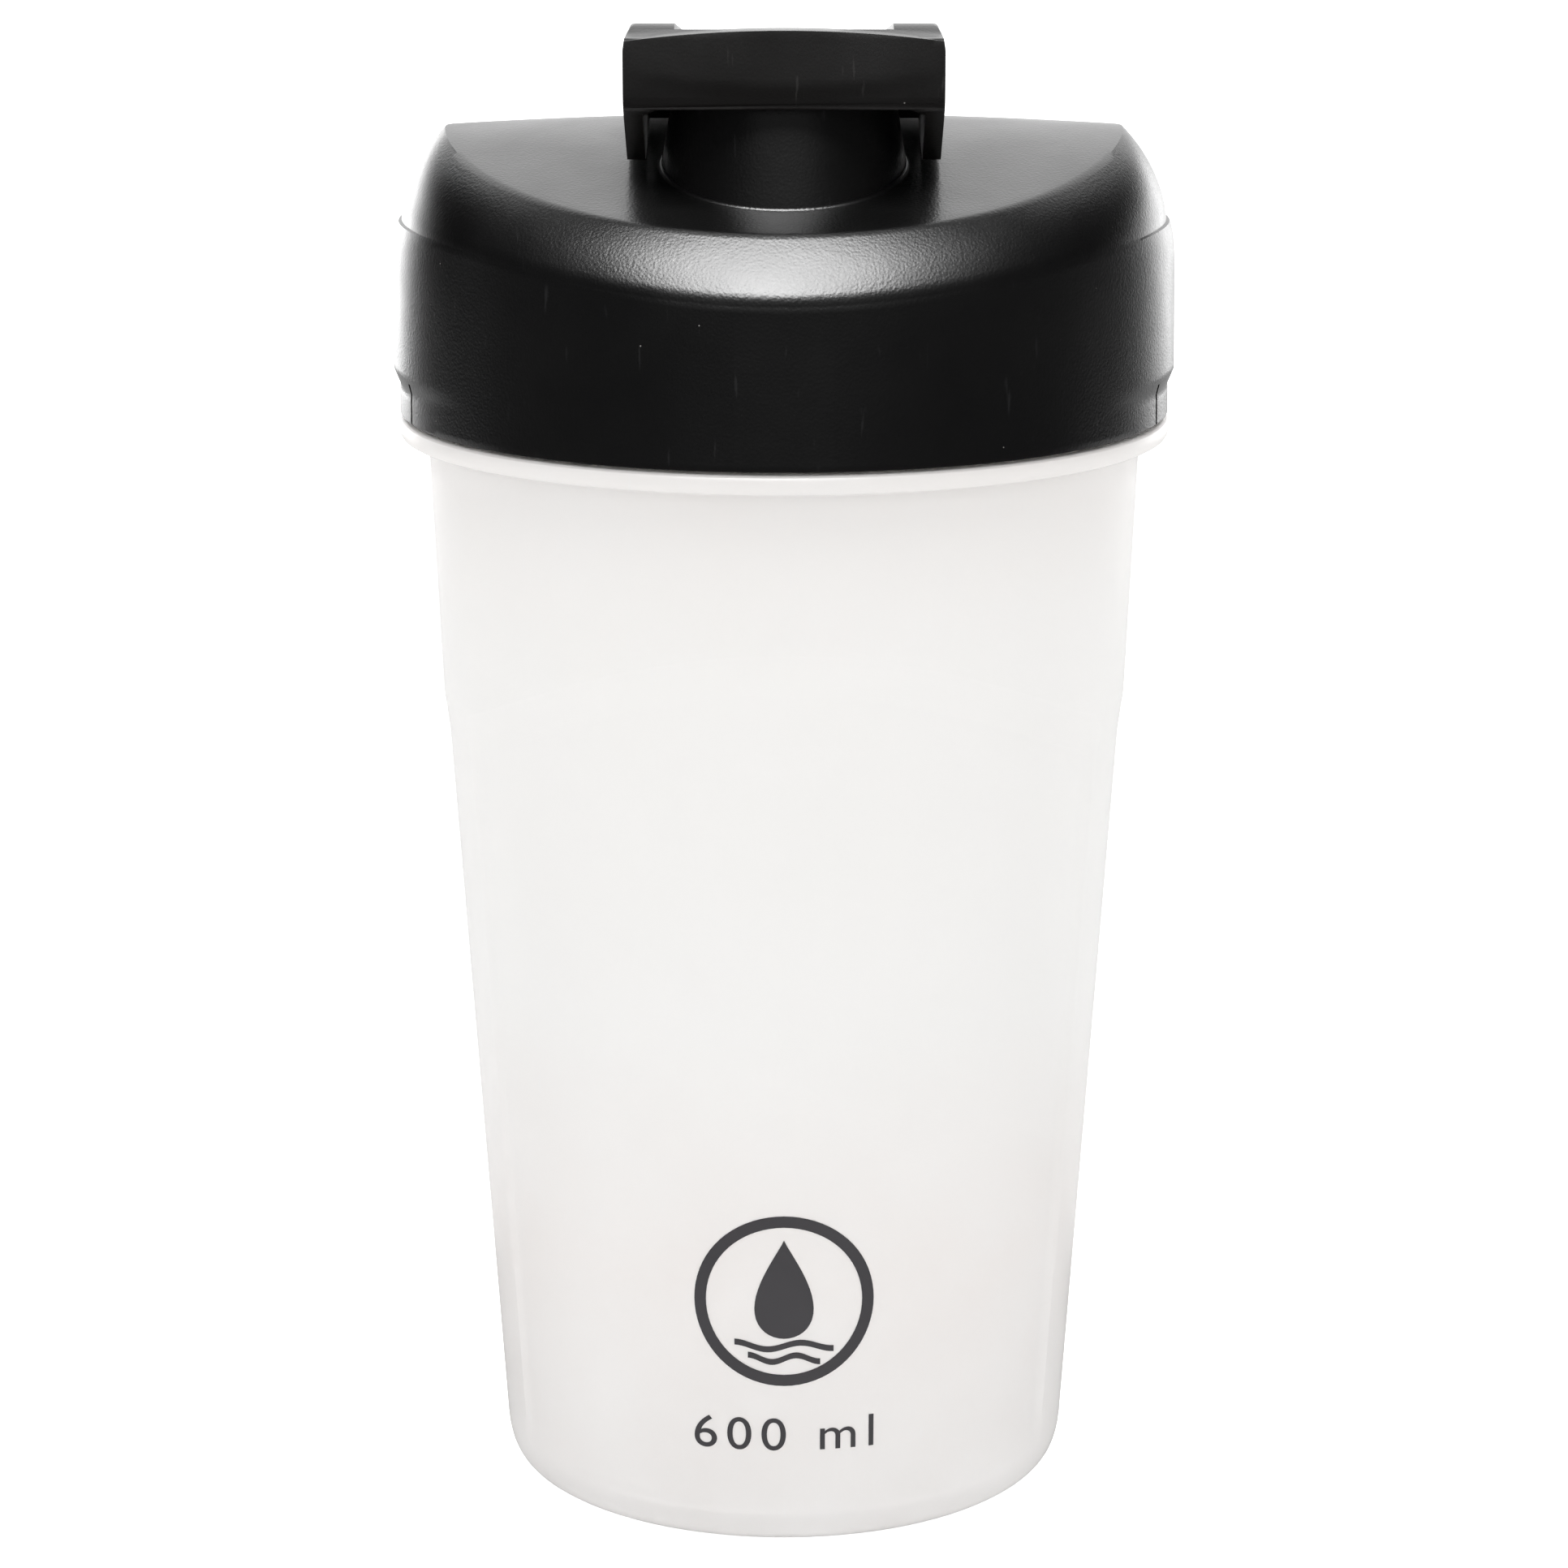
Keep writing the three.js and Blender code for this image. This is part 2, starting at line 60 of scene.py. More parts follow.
def spread(low, high, count):
    return [lerp(low, high, i / (count - 1)) for i in range(count)]


# points on a curve that leaves start and reaches end, pulled towards corner
def bend(start, corner, end, steps=6):
    points = []
    for i in range(steps + 1):
        t = i / steps
        weights = ((1 - t) ** 2, 2 * t * (1 - t), t * t)
        points.append(tuple(sum(w * p[k] for w, p in zip(weights, (start, corner, end))) for k in (0, 1)))
    return points


def softened(points, steps=4):  # (a, b) stays sharp, (a, b, size) is rounded over that length
    out = []
    for i, point in enumerate(points):
        here = Vector(point[:2])
        if len(point) == 2:
            out.append(tuple(here))
            continue
        before = Vector(points[i - 1][:2]) - here
        after = Vector(points[(i + 1) % len(points)][:2]) - here
        start = here + before.normalized() * min(point[2], before.length * 0.48)
        end = here + after.normalized() * min(point[2], after.length * 0.48)
        out += bend(start, here, end, steps)
    return out


def newPiece(name, points, faces):
    mesh = bpy.data.meshes.new(name)
    mesh.from_pydata([(x * mm, y * mm, z * mm) for x, y, z in points], [], faces)
    piece = bpy.data.objects.new(name, mesh)
    bpy.context.scene.collection.objects.link(piece)
    work = bmesh.new()
    work.from_mesh(mesh)
    bmesh.ops.remove_doubles(work, verts=work.verts, dist=0.0005 * mm)
    bmesh.ops.dissolve_degenerate(work, edges=work.edges, dist=0.0001 * mm)
    bmesh.ops.recalc_face_normals(work, faces=work.faces)
    work.to_mesh(mesh)
    work.free()
    return piece


# rows are (radius, height), or a function of the angle that gives them; the angle is 0 at the front
def turned(name, rows, columns=240, centreY=0.0):
    points = []
    for c in range(columns):
        angle = 2 * math.pi * c / columns
        for row in rows:
            radius, z = row(angle) if callable(row) else row
            points.append((radius * math.sin(angle), centreY - radius * math.cos(angle), z))
    count = len(rows)
    closes = not (points[0][0] == 0 and points[count - 1][0] == 0 and points[0][1] == centreY)
    faces = []
    for c in range(columns):
        a, b = c * count, ((c + 1) % columns) * count
        for r in range(count if closes else count - 1):
            s = (r + 1) % count
            faces.append((a + r, b + r, b + s, a + s))
    return newPiece(name, points, faces)


# the outline is (y, z) along axis x, (x, z) along axis y and (x, y) along axis z
def extruded(name, outline, axis, low, high):
    at = "xyz".index(axis)
    count = len(outline)
    points = [(*p[:at], depth, *p[at:]) for depth in (low, high) for p in outline]
    faces = [tuple(range(count)), tuple(range(2 * count - 1, count - 1, -1))]
    faces += [(i, (i + 1) % count, count + (i + 1) % count, count + i) for i in range(count)]
    return newPiece(name, points, faces)


def block(name, low, high):
    outline = [(low[0], low[2]), (high[0], low[2]), (high[0], high[2]), (low[0], high[2])]
    return extruded(name, outline, "y", low[1], high[1])


def bake(piece):
    graph = bpy.context.evaluated_depsgraph_get()
    mesh = bpy.data.meshes.new_from_object(piece.evaluated_get(graph))
    piece.modifiers.clear()
    piece.data = mesh
    mesh.name = piece.name
    return piece


def combine(piece, operation, *tools):
    for tool in tools:
        step = piece.modifiers.new("combine", "BOOLEAN")
        step.operation = operation
        step.solver = "MANIFOLD"
        step.object = tool
        bake(piece)
        bpy.data.objects.remove(tool)
    return piece


def rounded(piece, size, segments, angle):  # rounds every edge that turns by more than angle degrees
    rounding = piece.modifiers.new("round", "BEVEL")
    rounding.width = size * mm
    rounding.segments = segments
    rounding.limit_method = "ANGLE"
    rounding.angle_limit = angle * degree
    return bake(piece)


def finished(piece, material, body, nodes=(), angle=32):
    piece.data.materials.clear()
    piece.data.materials.append(material)
    piece.data.polygons.foreach_set("use_smooth", [True] * len(piece.data.polygons))
    piece.data.set_sharp_from_angle(angle=angle * degree)
    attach(piece, body)
    if nodes:
        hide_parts(*nodes)
    return piece


def addNode(tree, kind, links=None, **settings):  # links: input name or number to a socket or a value
    node = tree.nodes.new(kind)
    for key, value in settings.items():
        setattr(node, key, value)
    for key, value in (links or {}).items():
        if isinstance(value, bpy.types.NodeSocket):
            tree.links.new(value, node.inputs[key])
        else:
            node.inputs[key].default_value = value
    return node


# camera, floor and lights

view = dict(distance=548, height=226.1, pitch=14.0, lens=100.55, sensor=36, clipEnd=20)


def makeCamera():
    data = bpy.data.cameras.new("camera")
    data.lens = view["lens"]
    data.sensor_width = view["sensor"]
    data.clip_end = view["clipEnd"]
    camera = bpy.data.objects.new("camera", data)
    camera.location = (0, -view["distance"] * mm, view["height"] * mm)
    camera.rotation_euler = ((90 - view["pitch"]) * degree, 0, 0)
    bpy.context.scene.collection.objects.link(camera)
    bpy.context.scene.camera = camera
    bpy.context.scene.view_settings.view_transform = "Standard"


studio = dict(floor=0.9, floorGlow=0.6, floorRoughness=0.9, floorSpecular=0.1, floorInGloss=0.03, reach=12000,
              sky=1.0, skyOnWalls=1.72, skyInGloss=0.0)
lamps = [  # only mirrored; the sky alone lights the pieces
    dict(name="topSoftbox", at=(-30, -310, 900), aim=(0, -40, 150), size=(620, 340), watts=15),
    dict(name="edgeSoftbox", at=(-50, -500, 820), aim=(0, -40, 150), size=(380, 130), watts=6),
    dict(name="lowBack", at=(0, 1000, 260), aim=(0, 0, 160), size=(1500, 460), watts=3.6),
    dict(name="highBack", at=(0, 850, 900), aim=(0, 0, 160), size=(1500, 900), watts=10),
    dict(name="floorShine", at=(0, 660, 1), aim=(0, 660, 100), size=(1300, 1200), watts=3.6),
    dict(name="leftEdge", at=(-440, 820, 150), aim=(0, 0, 140), size=(360, 320), watts=1.9),
    dict(name="rightEdge", at=(540, 740, 150), aim=(0, 0, 140), size=(420, 320), watts=1.4),
    dict(name="frontGlow", at=(0, -1500, 480), aim=(0, 0, 160), size=(1800, 760), watts=0.9),
]


def makeStudio():
    world = bpy.data.worlds.new("studio")
    bpy.context.scene.world = world
    world.use_nodes = True
    tree = world.node_tree
    path = addNode(tree, "ShaderNodeLightPath")
    walls = addNode(tree, "ShaderNodeMix", {0: path.outputs["Is Diffuse Ray"], 2: studio["sky"],
                    3: studio["skyOnWalls"]})
    gloss = addNode(tree, "ShaderNodeMix", {0: path.outputs["Is Glossy Ray"], 2: walls.outputs[0],
                    3: studio["skyInGloss"]})
    tree.links.new(gloss.outputs[0], tree.nodes["Background"].inputs["Strength"])
    tree.nodes["Background"].inputs["Color"].default_value = (1, 1, 1, 1)
    for lamp in lamps:
        data = bpy.data.lights.new(lamp["name"], "AREA")
        data.shape = "RECTANGLE"
        data.size, data.size_y = lamp["size"][0] * mm, lamp["size"][1] * mm
        data.energy = lamp["watts"]
        light = bpy.data.objects.new(lamp["name"], data)
        light.location = Vector(lamp["at"]) * mm
        direction = (Vector(lamp["aim"]) - Vector(lamp["at"])).normalized()
        light.rotation_euler = direction.to_track_quat("-Z", "Y").to_euler()
        light.visible_camera = light.visible_diffuse = light.visible_transmission = False
        bpy.context.scene.collection.objects.link(light)
    corners = [(-1, -1), (1, -1), (1, 1), (-1, 1)]
    floor = newPiece("floor", [(x * studio["reach"], y * studio["reach"], 0) for x, y in corners],
                     [(0, 1, 2, 3)])
    material = bpy.data.materials.new("paleFloor")
    material.use_nodes = True
    tree = material.node_tree
    shader = tree.nodes["Principled BSDF"]
    shader.inputs["Base Color"].default_value = (*[studio["floor"]] * 3, 1)
    shader.inputs["Roughness"].default_value = studio["floorRoughness"]
    shader.inputs["Specular IOR Level"].default_value = studio["floorSpecular"]
    shader.inputs["Emission Color"].default_value = (1, 1, 1, 1)
    shader.inputs["Emission Strength"].default_value = studio["floorGlow"]
    inGloss = addNode(tree, "ShaderNodeBsdfDiffuse", {"Color": (*[studio["floorInGloss"]] * 3, 1)})
    path = addNode(tree, "ShaderNodeLightPath")
    choice = addNode(tree, "ShaderNodeMixShader", {0: path.outputs["Is Glossy Ray"], 1: shader.outputs[0],
                     2: inGloss.outputs[0]})
    tree.links.new(choice.outputs[0], tree.nodes["Material Output"].inputs["Surface"])
    floor.data.materials.append(material)


makeCamera()
makeStudio()
print("camera and studio ready")


# effects that several plastics share

def newGroup(name, inputs, outputs):
    group = bpy.data.node_groups.new(name, "ShaderNodeTree")
    for label, kind, default in inputs:
        socket = group.interface.new_socket(label, in_out="INPUT", socket_type=kind)
        if default is not None:
            socket.default_value = default
    for label, kind in outputs:
        group.interface.new_socket(label, in_out="OUTPUT", socket_type=kind)
    return group, group.nodes.new("NodeGroupInput"), group.nodes.new("NodeGroupOutput")


grainLook = dict(smoothness=0.7, detail=3.0, roughness=0.6, patchScale=55.0, patchDetail=4.0,
                 patchFrom=0.3, patchTo=0.7)
wearLook = dict(dustScale=330.0, areaScale=38.0, areaFrom=0.56, turn=(0.4, 0.9, 0.6),
                stretch=(1500.0, 170.0, 170.0), scuffFrom=0.7, scuffTo=0.76)


# fine spark-eroded grain with patches of more and less gloss
def makeGrain():
    group, given, made = newGroup("mouldGrain", [
        ("Vector", "NodeSocketVector", None), ("Scale", "NodeSocketFloat", 2200.0),
        ("Gloss Low", "NodeSocketFloat", 0.35), ("Gloss High", "NodeSocketFloat", 0.5)],
        [("Height", "NodeSocketFloat"), ("Roughness", "NodeSocketFloat"), ("Patches", "NodeSocketFloat")])
    cells = addNode(group, "ShaderNodeTexVoronoi", {"Vector": given.outputs["Vector"],
                    "Scale": given.outputs["Scale"], "Smoothness": grainLook["smoothness"]},
                    feature="SMOOTH_F1")
    fine = addNode(group, "ShaderNodeTexNoise", {"Vector": given.outputs["Vector"],
                   "Scale": given.outputs["Scale"], "Detail": grainLook["detail"],
                   "Roughness": grainLook["roughness"]})
    height = addNode(group, "ShaderNodeMath", {0: cells.outputs["Distance"], 1: fine.outputs["Fac"]},
                     operation="ADD")
    patches = addNode(group, "ShaderNodeTexNoise", {"Vector": given.outputs["Vector"],
                      "Scale": grainLook["patchScale"], "Detail": grainLook["patchDetail"],
                      "Roughness": grainLook["roughness"]})
    gloss = addNode(group, "ShaderNodeMapRange", {"Value": patches.outputs["Fac"],
                    "From Min": grainLook["patchFrom"], "From Max": grainLook["patchTo"],
                    "To Min": given.outputs["Gloss Low"], "To Max": given.outputs["Gloss High"]})
    group.links.new(height.outputs[0], made.inputs["Height"])
    group.links.new(gloss.outputs["Result"], made.inputs["Roughness"])
    group.links.new(patches.outputs["Fac"], made.inputs["Patches"])
    return group


# scattered dust specks and short hairline scuffs, as masks
def makeWear():
    group, given, made = newGroup("handlingWear", [
        ("Vector", "NodeSocketVector", None), ("Specks", "NodeSocketFloat", 0.035),
        ("Scuffs", "NodeSocketFloat", 0.5)],
        [("Dust", "NodeSocketFloat"), ("Scuff", "NodeSocketFloat")])
    points = addNode(group, "ShaderNodeTexVoronoi", {"Vector": given.outputs["Vector"],
                     "Scale": wearLook["dustScale"], "Randomness": 1.0})
    near = addNode(group, "ShaderNodeMath", {0: points.outputs["Distance"], 1: given.outputs["Specks"]},
                   operation="LESS_THAN")
    where = addNode(group, "ShaderNodeTexNoise", {"Vector": given.outputs["Vector"],
                    "Scale": wearLook["areaScale"], "Detail": 1.0})
    some = addNode(group, "ShaderNodeMath", {0: where.outputs["Fac"], 1: wearLook["areaFrom"]},
                   operation="GREATER_THAN")
    dust = addNode(group, "ShaderNodeMath", {0: near.outputs[0], 1: some.outputs[0]}, operation="MULTIPLY")
    stretch = addNode(group, "ShaderNodeMapping", {"Vector": given.outputs["Vector"],
                      "Rotation": wearLook["turn"], "Scale": wearLook["stretch"]})
    lines = addNode(group, "ShaderNodeTexNoise", {"Vector": stretch.outputs["Vector"], "Scale": 1.0,
                    "Detail": 2.0})
    thin = addNode(group, "ShaderNodeMapRange", {"Value": lines.outputs["Fac"],
                   "From Min": wearLook["scuffFrom"], "From Max": wearLook["scuffTo"]})
    scuff = addNode(group, "ShaderNodeMath", {0: thin.outputs["Result"], 1: given.outputs["Scuffs"]},
                    operation="MULTIPLY")
    group.links.new(dust.outputs[0], made.inputs["Dust"])
    group.links.new(scuff.outputs[0], made.inputs["Scuff"])
    return group


grainGroup = makeGrain()
wearGroup = makeWear()


def newMaterial(name, sockets):
    material = bpy.data.materials.new(name)
    material.use_nodes = True
    tree = material.node_tree
    shader = tree.nodes["Principled BSDF"]
    for socket, value in sockets.items():
        shader.inputs[socket].default_value = value
    place = addNode(tree, "ShaderNodeTexCoord")
    return material, tree, shader, place.outputs["Object"]


def useGroup(tree, group, links):
    node = addNode(tree, "ShaderNodeGroup", node_tree=group)
    for key, value in links.items():
        if isinstance(value, bpy.types.NodeSocket):
            tree.links.new(value, node.inputs[key])
        else:
            node.inputs[key].default_value = value
    return node


plastic = dict(ior=1.46, specks=0.03, scuffGain=2.2, scuffLift=0.01, dust=(0.14, 0.135, 0.13), bump=0.5)


def grainOn(tree, place, scale, gloss):
    return useGroup(tree, grainGroup, {"Vector": place, "Scale": scale, "Gloss Low": gloss[0],
                                       "Gloss High": gloss[1]})


def mouldedPlastic(name, base, tint, gloss, grainScale, grainDepth, scuffs=0.4):
    material, tree, shader, place = newMaterial(name, {"IOR": plastic["ior"]})
    grain = grainOn(tree, place, grainScale, gloss)
    wear = useGroup(tree, wearGroup, {"Vector": place, "Specks": plastic["specks"], "Scuffs": scuffs})
    tone = addNode(tree, "ShaderNodeMix", {0: grain.outputs["Patches"], 6: (*base, 1), 7: (*tint, 1)},
                   data_type="RGBA")
    scuffed = addNode(tree, "ShaderNodeMix", {0: wear.outputs["Scuff"], 6: tone.outputs[2],
                      7: (*[clamp(c * plastic["scuffGain"] + plastic["scuffLift"]) for c in base], 1)},
                      data_type="RGBA")
    dusty = addNode(tree, "ShaderNodeMix", {0: wear.outputs["Dust"], 6: scuffed.outputs[2],
                    7: (*plastic["dust"], 1)}, data_type="RGBA")
    tree.links.new(dusty.outputs[2], shader.inputs["Base Color"])
    tree.links.new(grain.outputs["Roughness"], shader.inputs["Roughness"])
    bump = addNode(tree, "ShaderNodeBump", {"Strength": plastic["bump"], "Distance": grainDepth * mm,
                   "Height": grain.outputs["Height"]})
    tree.links.new(bump.outputs["Normal"], shader.inputs["Normal"])
    return material


lidPlastic = mouldedPlastic("lidPlastic", (0.0018, 0.0018, 0.0021), (0.0028, 0.0027, 0.0028),
                            (0.28, 0.36), 2900.0, 0.036)
capPlastic = mouldedPlastic("capPlastic", (0.0032, 0.0027, 0.0025), (0.005, 0.0042, 0.004),
                            (0.3, 0.4), 3000.0, 0.02, scuffs=0.6)
pinPlastic = mouldedPlastic("pinPlastic", (0.01, 0.01, 0.011), (0.014, 0.014, 0.015),
                            (0.25, 0.32), 3000.0, 0.01)
stopperRubber = mouldedPlastic("stopperRubber", (0.018, 0.018, 0.019), (0.026, 0.026, 0.027),
                               (0.6, 0.72), 3400.0, 0.02, scuffs=0.1)
sealRubber = mouldedPlastic("sealRubber", (0.5, 0.5, 0.48), (0.56, 0.56, 0.54),
                            (0.55, 0.65), 3000.0, 0.01, scuffs=0.1)
strainerPlastic = mouldedPlastic("strainerPlastic", (0.72, 0.71, 0.69), (0.78, 0.77, 0.75),
                                 (0.35, 0.45), 2600.0, 0.012, scuffs=0.15)

milk = dict(ior=1.49, transmission=0.55, specular=0.35, grainScale=1500.0, gloss=(0.36, 0.46), specks=0.02,
            scuffs=0.25, height=0.16, cloud=(0.95, 0.94, 0.93), scuffTint=(0.95, 0.95, 0.95), bump=0.25,
            grainDepth=0.01,
            # painted shade: the wall colour darkens towards the foot and towards the flange under the lid
            paintedShadeByHeight=((0.0, (0.87, 0.845, 0.83)), (0.22, (0.91, 0.89, 0.875)), (0.42, (0.95, 0.945, 0.93)),
                   (0.7, (0.95, 0.94, 0.92)), (0.86, (0.95, 0.915, 0.89)), (1.0, (0.92, 0.875, 0.85))))


def milkyPlastic():  # painted shade by the height on the wall, darker at the foot and under the lid, from 0 at the foot to 1 at milk["height"] metres
    material, tree, shader, place = newMaterial("milkyPlastic", {
        "IOR": milk["ior"], "Transmission Weight": milk["transmission"],
        "Specular IOR Level": milk["specular"]})
    grain = grainOn(tree, place, milk["grainScale"], milk["gloss"])
    wear = useGroup(tree, wearGroup, {"Vector": place, "Specks": milk["specks"], "Scuffs": milk["scuffs"]})
    split = addNode(tree, "ShaderNodeSeparateXYZ", {0: place})
    upTheWall = addNode(tree, "ShaderNodeMapRange", {"Value": split.outputs["Z"], "From Max": milk["height"]})
    # painted shade ramp by height: darker at the foot and under the lid, standing in for how light falls on
    # the wall
    tint = addNode(tree, "ShaderNodeValToRGB", {0: upTheWall.outputs["Result"]})
    stops = tint.color_ramp.elements
    for share, colour in milk["paintedShadeByHeight"]:
        stop = stops.new(share) if 0 < share < 1 else stops[int(share)]
        stop.color = (*colour, 1)
    cloudy = addNode(tree, "ShaderNodeMix", {0: grain.outputs["Patches"], 6: tint.outputs[0],
                     7: (*milk["cloud"], 1)}, data_type="RGBA")
    scuffed = addNode(tree, "ShaderNodeMix", {0: wear.outputs["Scuff"], 6: cloudy.outputs[2],
                      7: (*milk["scuffTint"], 1)}, data_type="RGBA")
    tree.links.new(scuffed.outputs[2], shader.inputs["Base Color"])
    tree.links.new(grain.outputs["Roughness"], shader.inputs["Roughness"])
    bump = addNode(tree, "ShaderNodeBump", {"Strength": milk["bump"], "Distance": milk["grainDepth"] * mm,
                   "Height": grain.outputs["Height"]})
    tree.links.new(bump.outputs["Normal"], shader.inputs["Normal"])
    return material


inkLook = dict(ior=1.45, grainScale=4200.0, gloss=(0.42, 0.55), fade=1.25)


def printInk(name, base):
    material, tree, shader, place = newMaterial(name, {"IOR": inkLook["ior"]})
    grain = grainOn(tree, place, inkLook["grainScale"], inkLook["gloss"])
    worn = addNode(tree, "ShaderNodeMix", {0: grain.outputs["Patches"], 6: (*base, 1),
                   7: (*[c * inkLook["fade"] for c in base], 1)}, data_type="RGBA")
    tree.links.new(worn.outputs[2], shader.inputs["Base Color"])
    tree.links.new(grain.outputs["Roughness"], shader.inputs["Roughness"])
    return material


cupPlastic = milkyPlastic()
darkInk = printInk("darkInk", (0.03, 0.028, 0.031))
paleInk = printInk("paleInk", (0.14, 0.135, 0.145))
print("materials ready")


# the cup, from the foot up

cup = dict(baseRadius=36.4, taper=0.065, wall=1.5, heel=3.2, heelTop=4.6, footWidth=3, footRecess=0.8,
           floor=1.8, gate=(2.2, 1.8, 0.9), gateRise=0.35, shoulder=98, shoulderRise=5, shoulderStep=0.35,
           upperTaper=0.042, flange=135.7, flangeThickness=2.4, flangeReach=3.6, neck=16, neckStep=0.3,
           panelDepth=0.45, panelAngle=64, panelBottom=6, panelFade=1.2, panelRise=13, panelEdge=0.9)
thread = dict(lead=16, starts=3, height=2, depth=0.8, root=0.4, firstAngle=30, span=85, drop=5.2, lidSpan=65,
              lidRoot=0.3, play=0.3, sideGap=0.4)


def lowWall(z):
    return cup["baseRadius"] + cup["taper"] * z


def highWall(z):
    foot = cup["shoulder"] + cup["shoulderRise"]
    return lowWall(foot) + cup["shoulderStep"] + cup["upperTaper"] * (z - foot)


def panelMask(angle):
    edge = math.sin(cup["panelAngle"] * degree)
    slope = cup["panelEdge"] / 40 * math.cos(cup["panelAngle"] * degree)
    return smooth((edge - abs(math.sin(angle))) / slope + 0.5)


def archLine(angle):  # lower edge of the sloping step, arched over each panel
    share = math.sin(angle) / math.sin(cup["panelAngle"] * degree)
    return cup["shoulder"] + cup["panelRise"] * max(0.0, 1 - share * share)


def gripRadius(angle, z):
    fade = smooth((z - cup["panelBottom"]) / cup["panelFade"])
    return lowWall(z) - cup["panelDepth"] * panelMask(angle) * fade


def outerRadius(angle, z):
    low = archLine(angle)
    high = low + cup["shoulderRise"]
    if z <= low:
        return gripRadius(angle, z)
    if z >= high:
        return highWall(z)
    return lerp(gripRadius(angle, low), highWall(high), (z - low) / (high - low))


def gripRow(share, start):
    def row(angle):
        z = lerp(start, archLine(angle), share)
        return gripRadius(angle, z), z
    return row


def stepRow(share):
    def row(angle):
        z = archLine(angle) + cup["shoulderRise"] * share
        return outerRadius(angle, z), z
    return row


def upperRow(share, end):
    def row(angle):
        z = lerp(archLine(angle) + cup["shoulderRise"], end, share)
        return highWall(z), z
    return row


flangeTop = cup["flange"] + cup["flangeThickness"]
rimZ = flangeTop + cup["neck"]
neckRadius = highWall(cup["flange"]) + cup["neckStep"]
neckInner = neckRadius - cup["wall"]
flangeRadius = highWall(cup["flange"]) + cup["flangeReach"]


def helix(name, root, crest, middleAngle, span, middleZ, steps=34):
    section = [(root, -0.5), (crest, -0.3), (crest, 0.3), (root, 0.5)]
    points, faces = [], []
    for i in range(steps + 1):
        turn = span * (i / steps - 0.5)
        angle = (middleAngle + turn) * degree
        reach = smooth(min(i, steps - i) / 4)
        z = middleZ + thread["lead"] * turn / 360
        for radius, side in section:
            r = lerp(root, radius, max(reach, 0.05))
            points.append((r * math.cos(angle), r * math.sin(angle), z + side * thread["height"]))
    for i in range(steps):
        a, b = 4 * i, 4 * (i + 1)
        faces += [(a + k, a + (k + 1) % 4, b + (k + 1) % 4, b + k) for k in range(4)]
    faces += [(3, 2, 1, 0), tuple(4 * steps + k for k in range(4))]
    return newPiece(name, points, faces)


def threadRidges(name, root, crest, span, middleZ):
    return [helix(f"{name}{k}", root, crest, 360 * k / thread["starts"] + thread["firstAngle"], span, middleZ)
            for k in range(thread["starts"])]


def makeCup():
    wall, heelTop, recess = cup["wall"], cup["heelTop"], cup["footRecess"]
    floorZ, gateZ = recess + cup["floor"], recess + cup["floor"] + cup["gateRise"]
    footX = lowWall(0) - cup["heel"] * 0.75
    rows = softened([(footX - cup["footWidth"] - 0.8, recess, 0.3),
                     (footX - cup["footWidth"], 0, 0.3), (footX, 0), (footX, 0)])[:-2]
    rows += bend((footX, 0), (lowWall(0) - 0.1, 0), (lowWall(heelTop), heelTop), 9)
    rows += [gripRow(t, heelTop) for t in spread(0.01, 1, 46)]
    rows += [stepRow(t) for t in (0.02, 0.35, 0.68, 0.98, 1)]
    rows += [upperRow(t, cup["flange"] - 2.2) for t in spread(0.02, 1, 14)]
    under = highWall(cup["flange"])
    rows += softened([
        (under, cup["flange"] - 1.9), (under + 0.1, cup["flange"], 1.2), (flangeRadius, cup["flange"], 1.0),
        (flangeRadius, flangeTop, 1.0), (neckRadius, flangeTop, 0.4), (neckRadius, rimZ, 0.6),
        (neckInner, rimZ, 0.6), (under - wall, cup["flange"])])
    rows += [(highWall(z) - wall, z) for z in spread(cup["flange"] - 6, 104, 8)]
    rows += [(lowWall(z) - wall, z) for z in spread(97, 9, 12)]
    inside = lowWall(floorZ) - wall
    rows += bend((lowWall(7) - wall, 7), (inside, floorZ), (inside - 5, floorZ), 8)
    rows += [(24, floorZ), (12, floorZ), (cup["gate"][0], floorZ), (cup["gate"][1], gateZ),
             (cup["gate"][2], gateZ), (0, gateZ)]
    outside = [(0, recess), (12, recess), (24, recess)]
    piece = turned("cupShell", outside + rows, 288)
    ridges = threadRidges("cupThread", neckRadius - thread["root"], neckRadius + thread["depth"],
                          thread["span"], rimZ - thread["drop"])
    combine(piece, "UNION", *ridges)
    return finished(piece, cupPlastic, "cup", ["cup"], 24)


makeCup()
print("cup ready")


# printing, laid on the wall of the cup

ink = dict(lift=0.04, thickness=0.03, strip=1.4, capitals=1.37)  # capitals: letter size over capital height
mark = dict(centreZ=33, ring=11.4, stroke=1.5, drop=6.6, dropRise=1.6, waveWidths=(12.5, 9.1),
            waveDrops=(6.0, 7.7), waveStroke=0.8, waveRise=0.45)
capacity = dict(text="600 ml", height=4.6, spacing=1.25, z=12.8, width=23)
scale = dict(low=33, high=92, lowMargin=12, highMargin=8, header=4.2, letters=3.0, bar=(5.6, 5.2), digits=2.6,
             digitDrop=1.1, stroke=0.45, volumes=range(100, 601, 50), ounce=28.4)


def flatCurve(name, loops):
    data = bpy.data.curves.new(name, "CURVE")
    data.dimensions = "2D"
    data.fill_mode = "BOTH"
    for loop in loops:
        spline = data.splines.new("POLY")
        spline.points.add(len(loop) - 1)
        for point, (x, y) in zip(spline.points, loop):
            point.co = (x, y, 0, 1)
        spline.use_cyclic_u = True
    return data


def flatText(text, height, spacing=1.0):
    data = bpy.data.curves.new("text", "FONT")
    data.body = text
    data.size = height * ink["capitals"]
    data.space_character = spacing
    data.align_x = "CENTER"
    return data


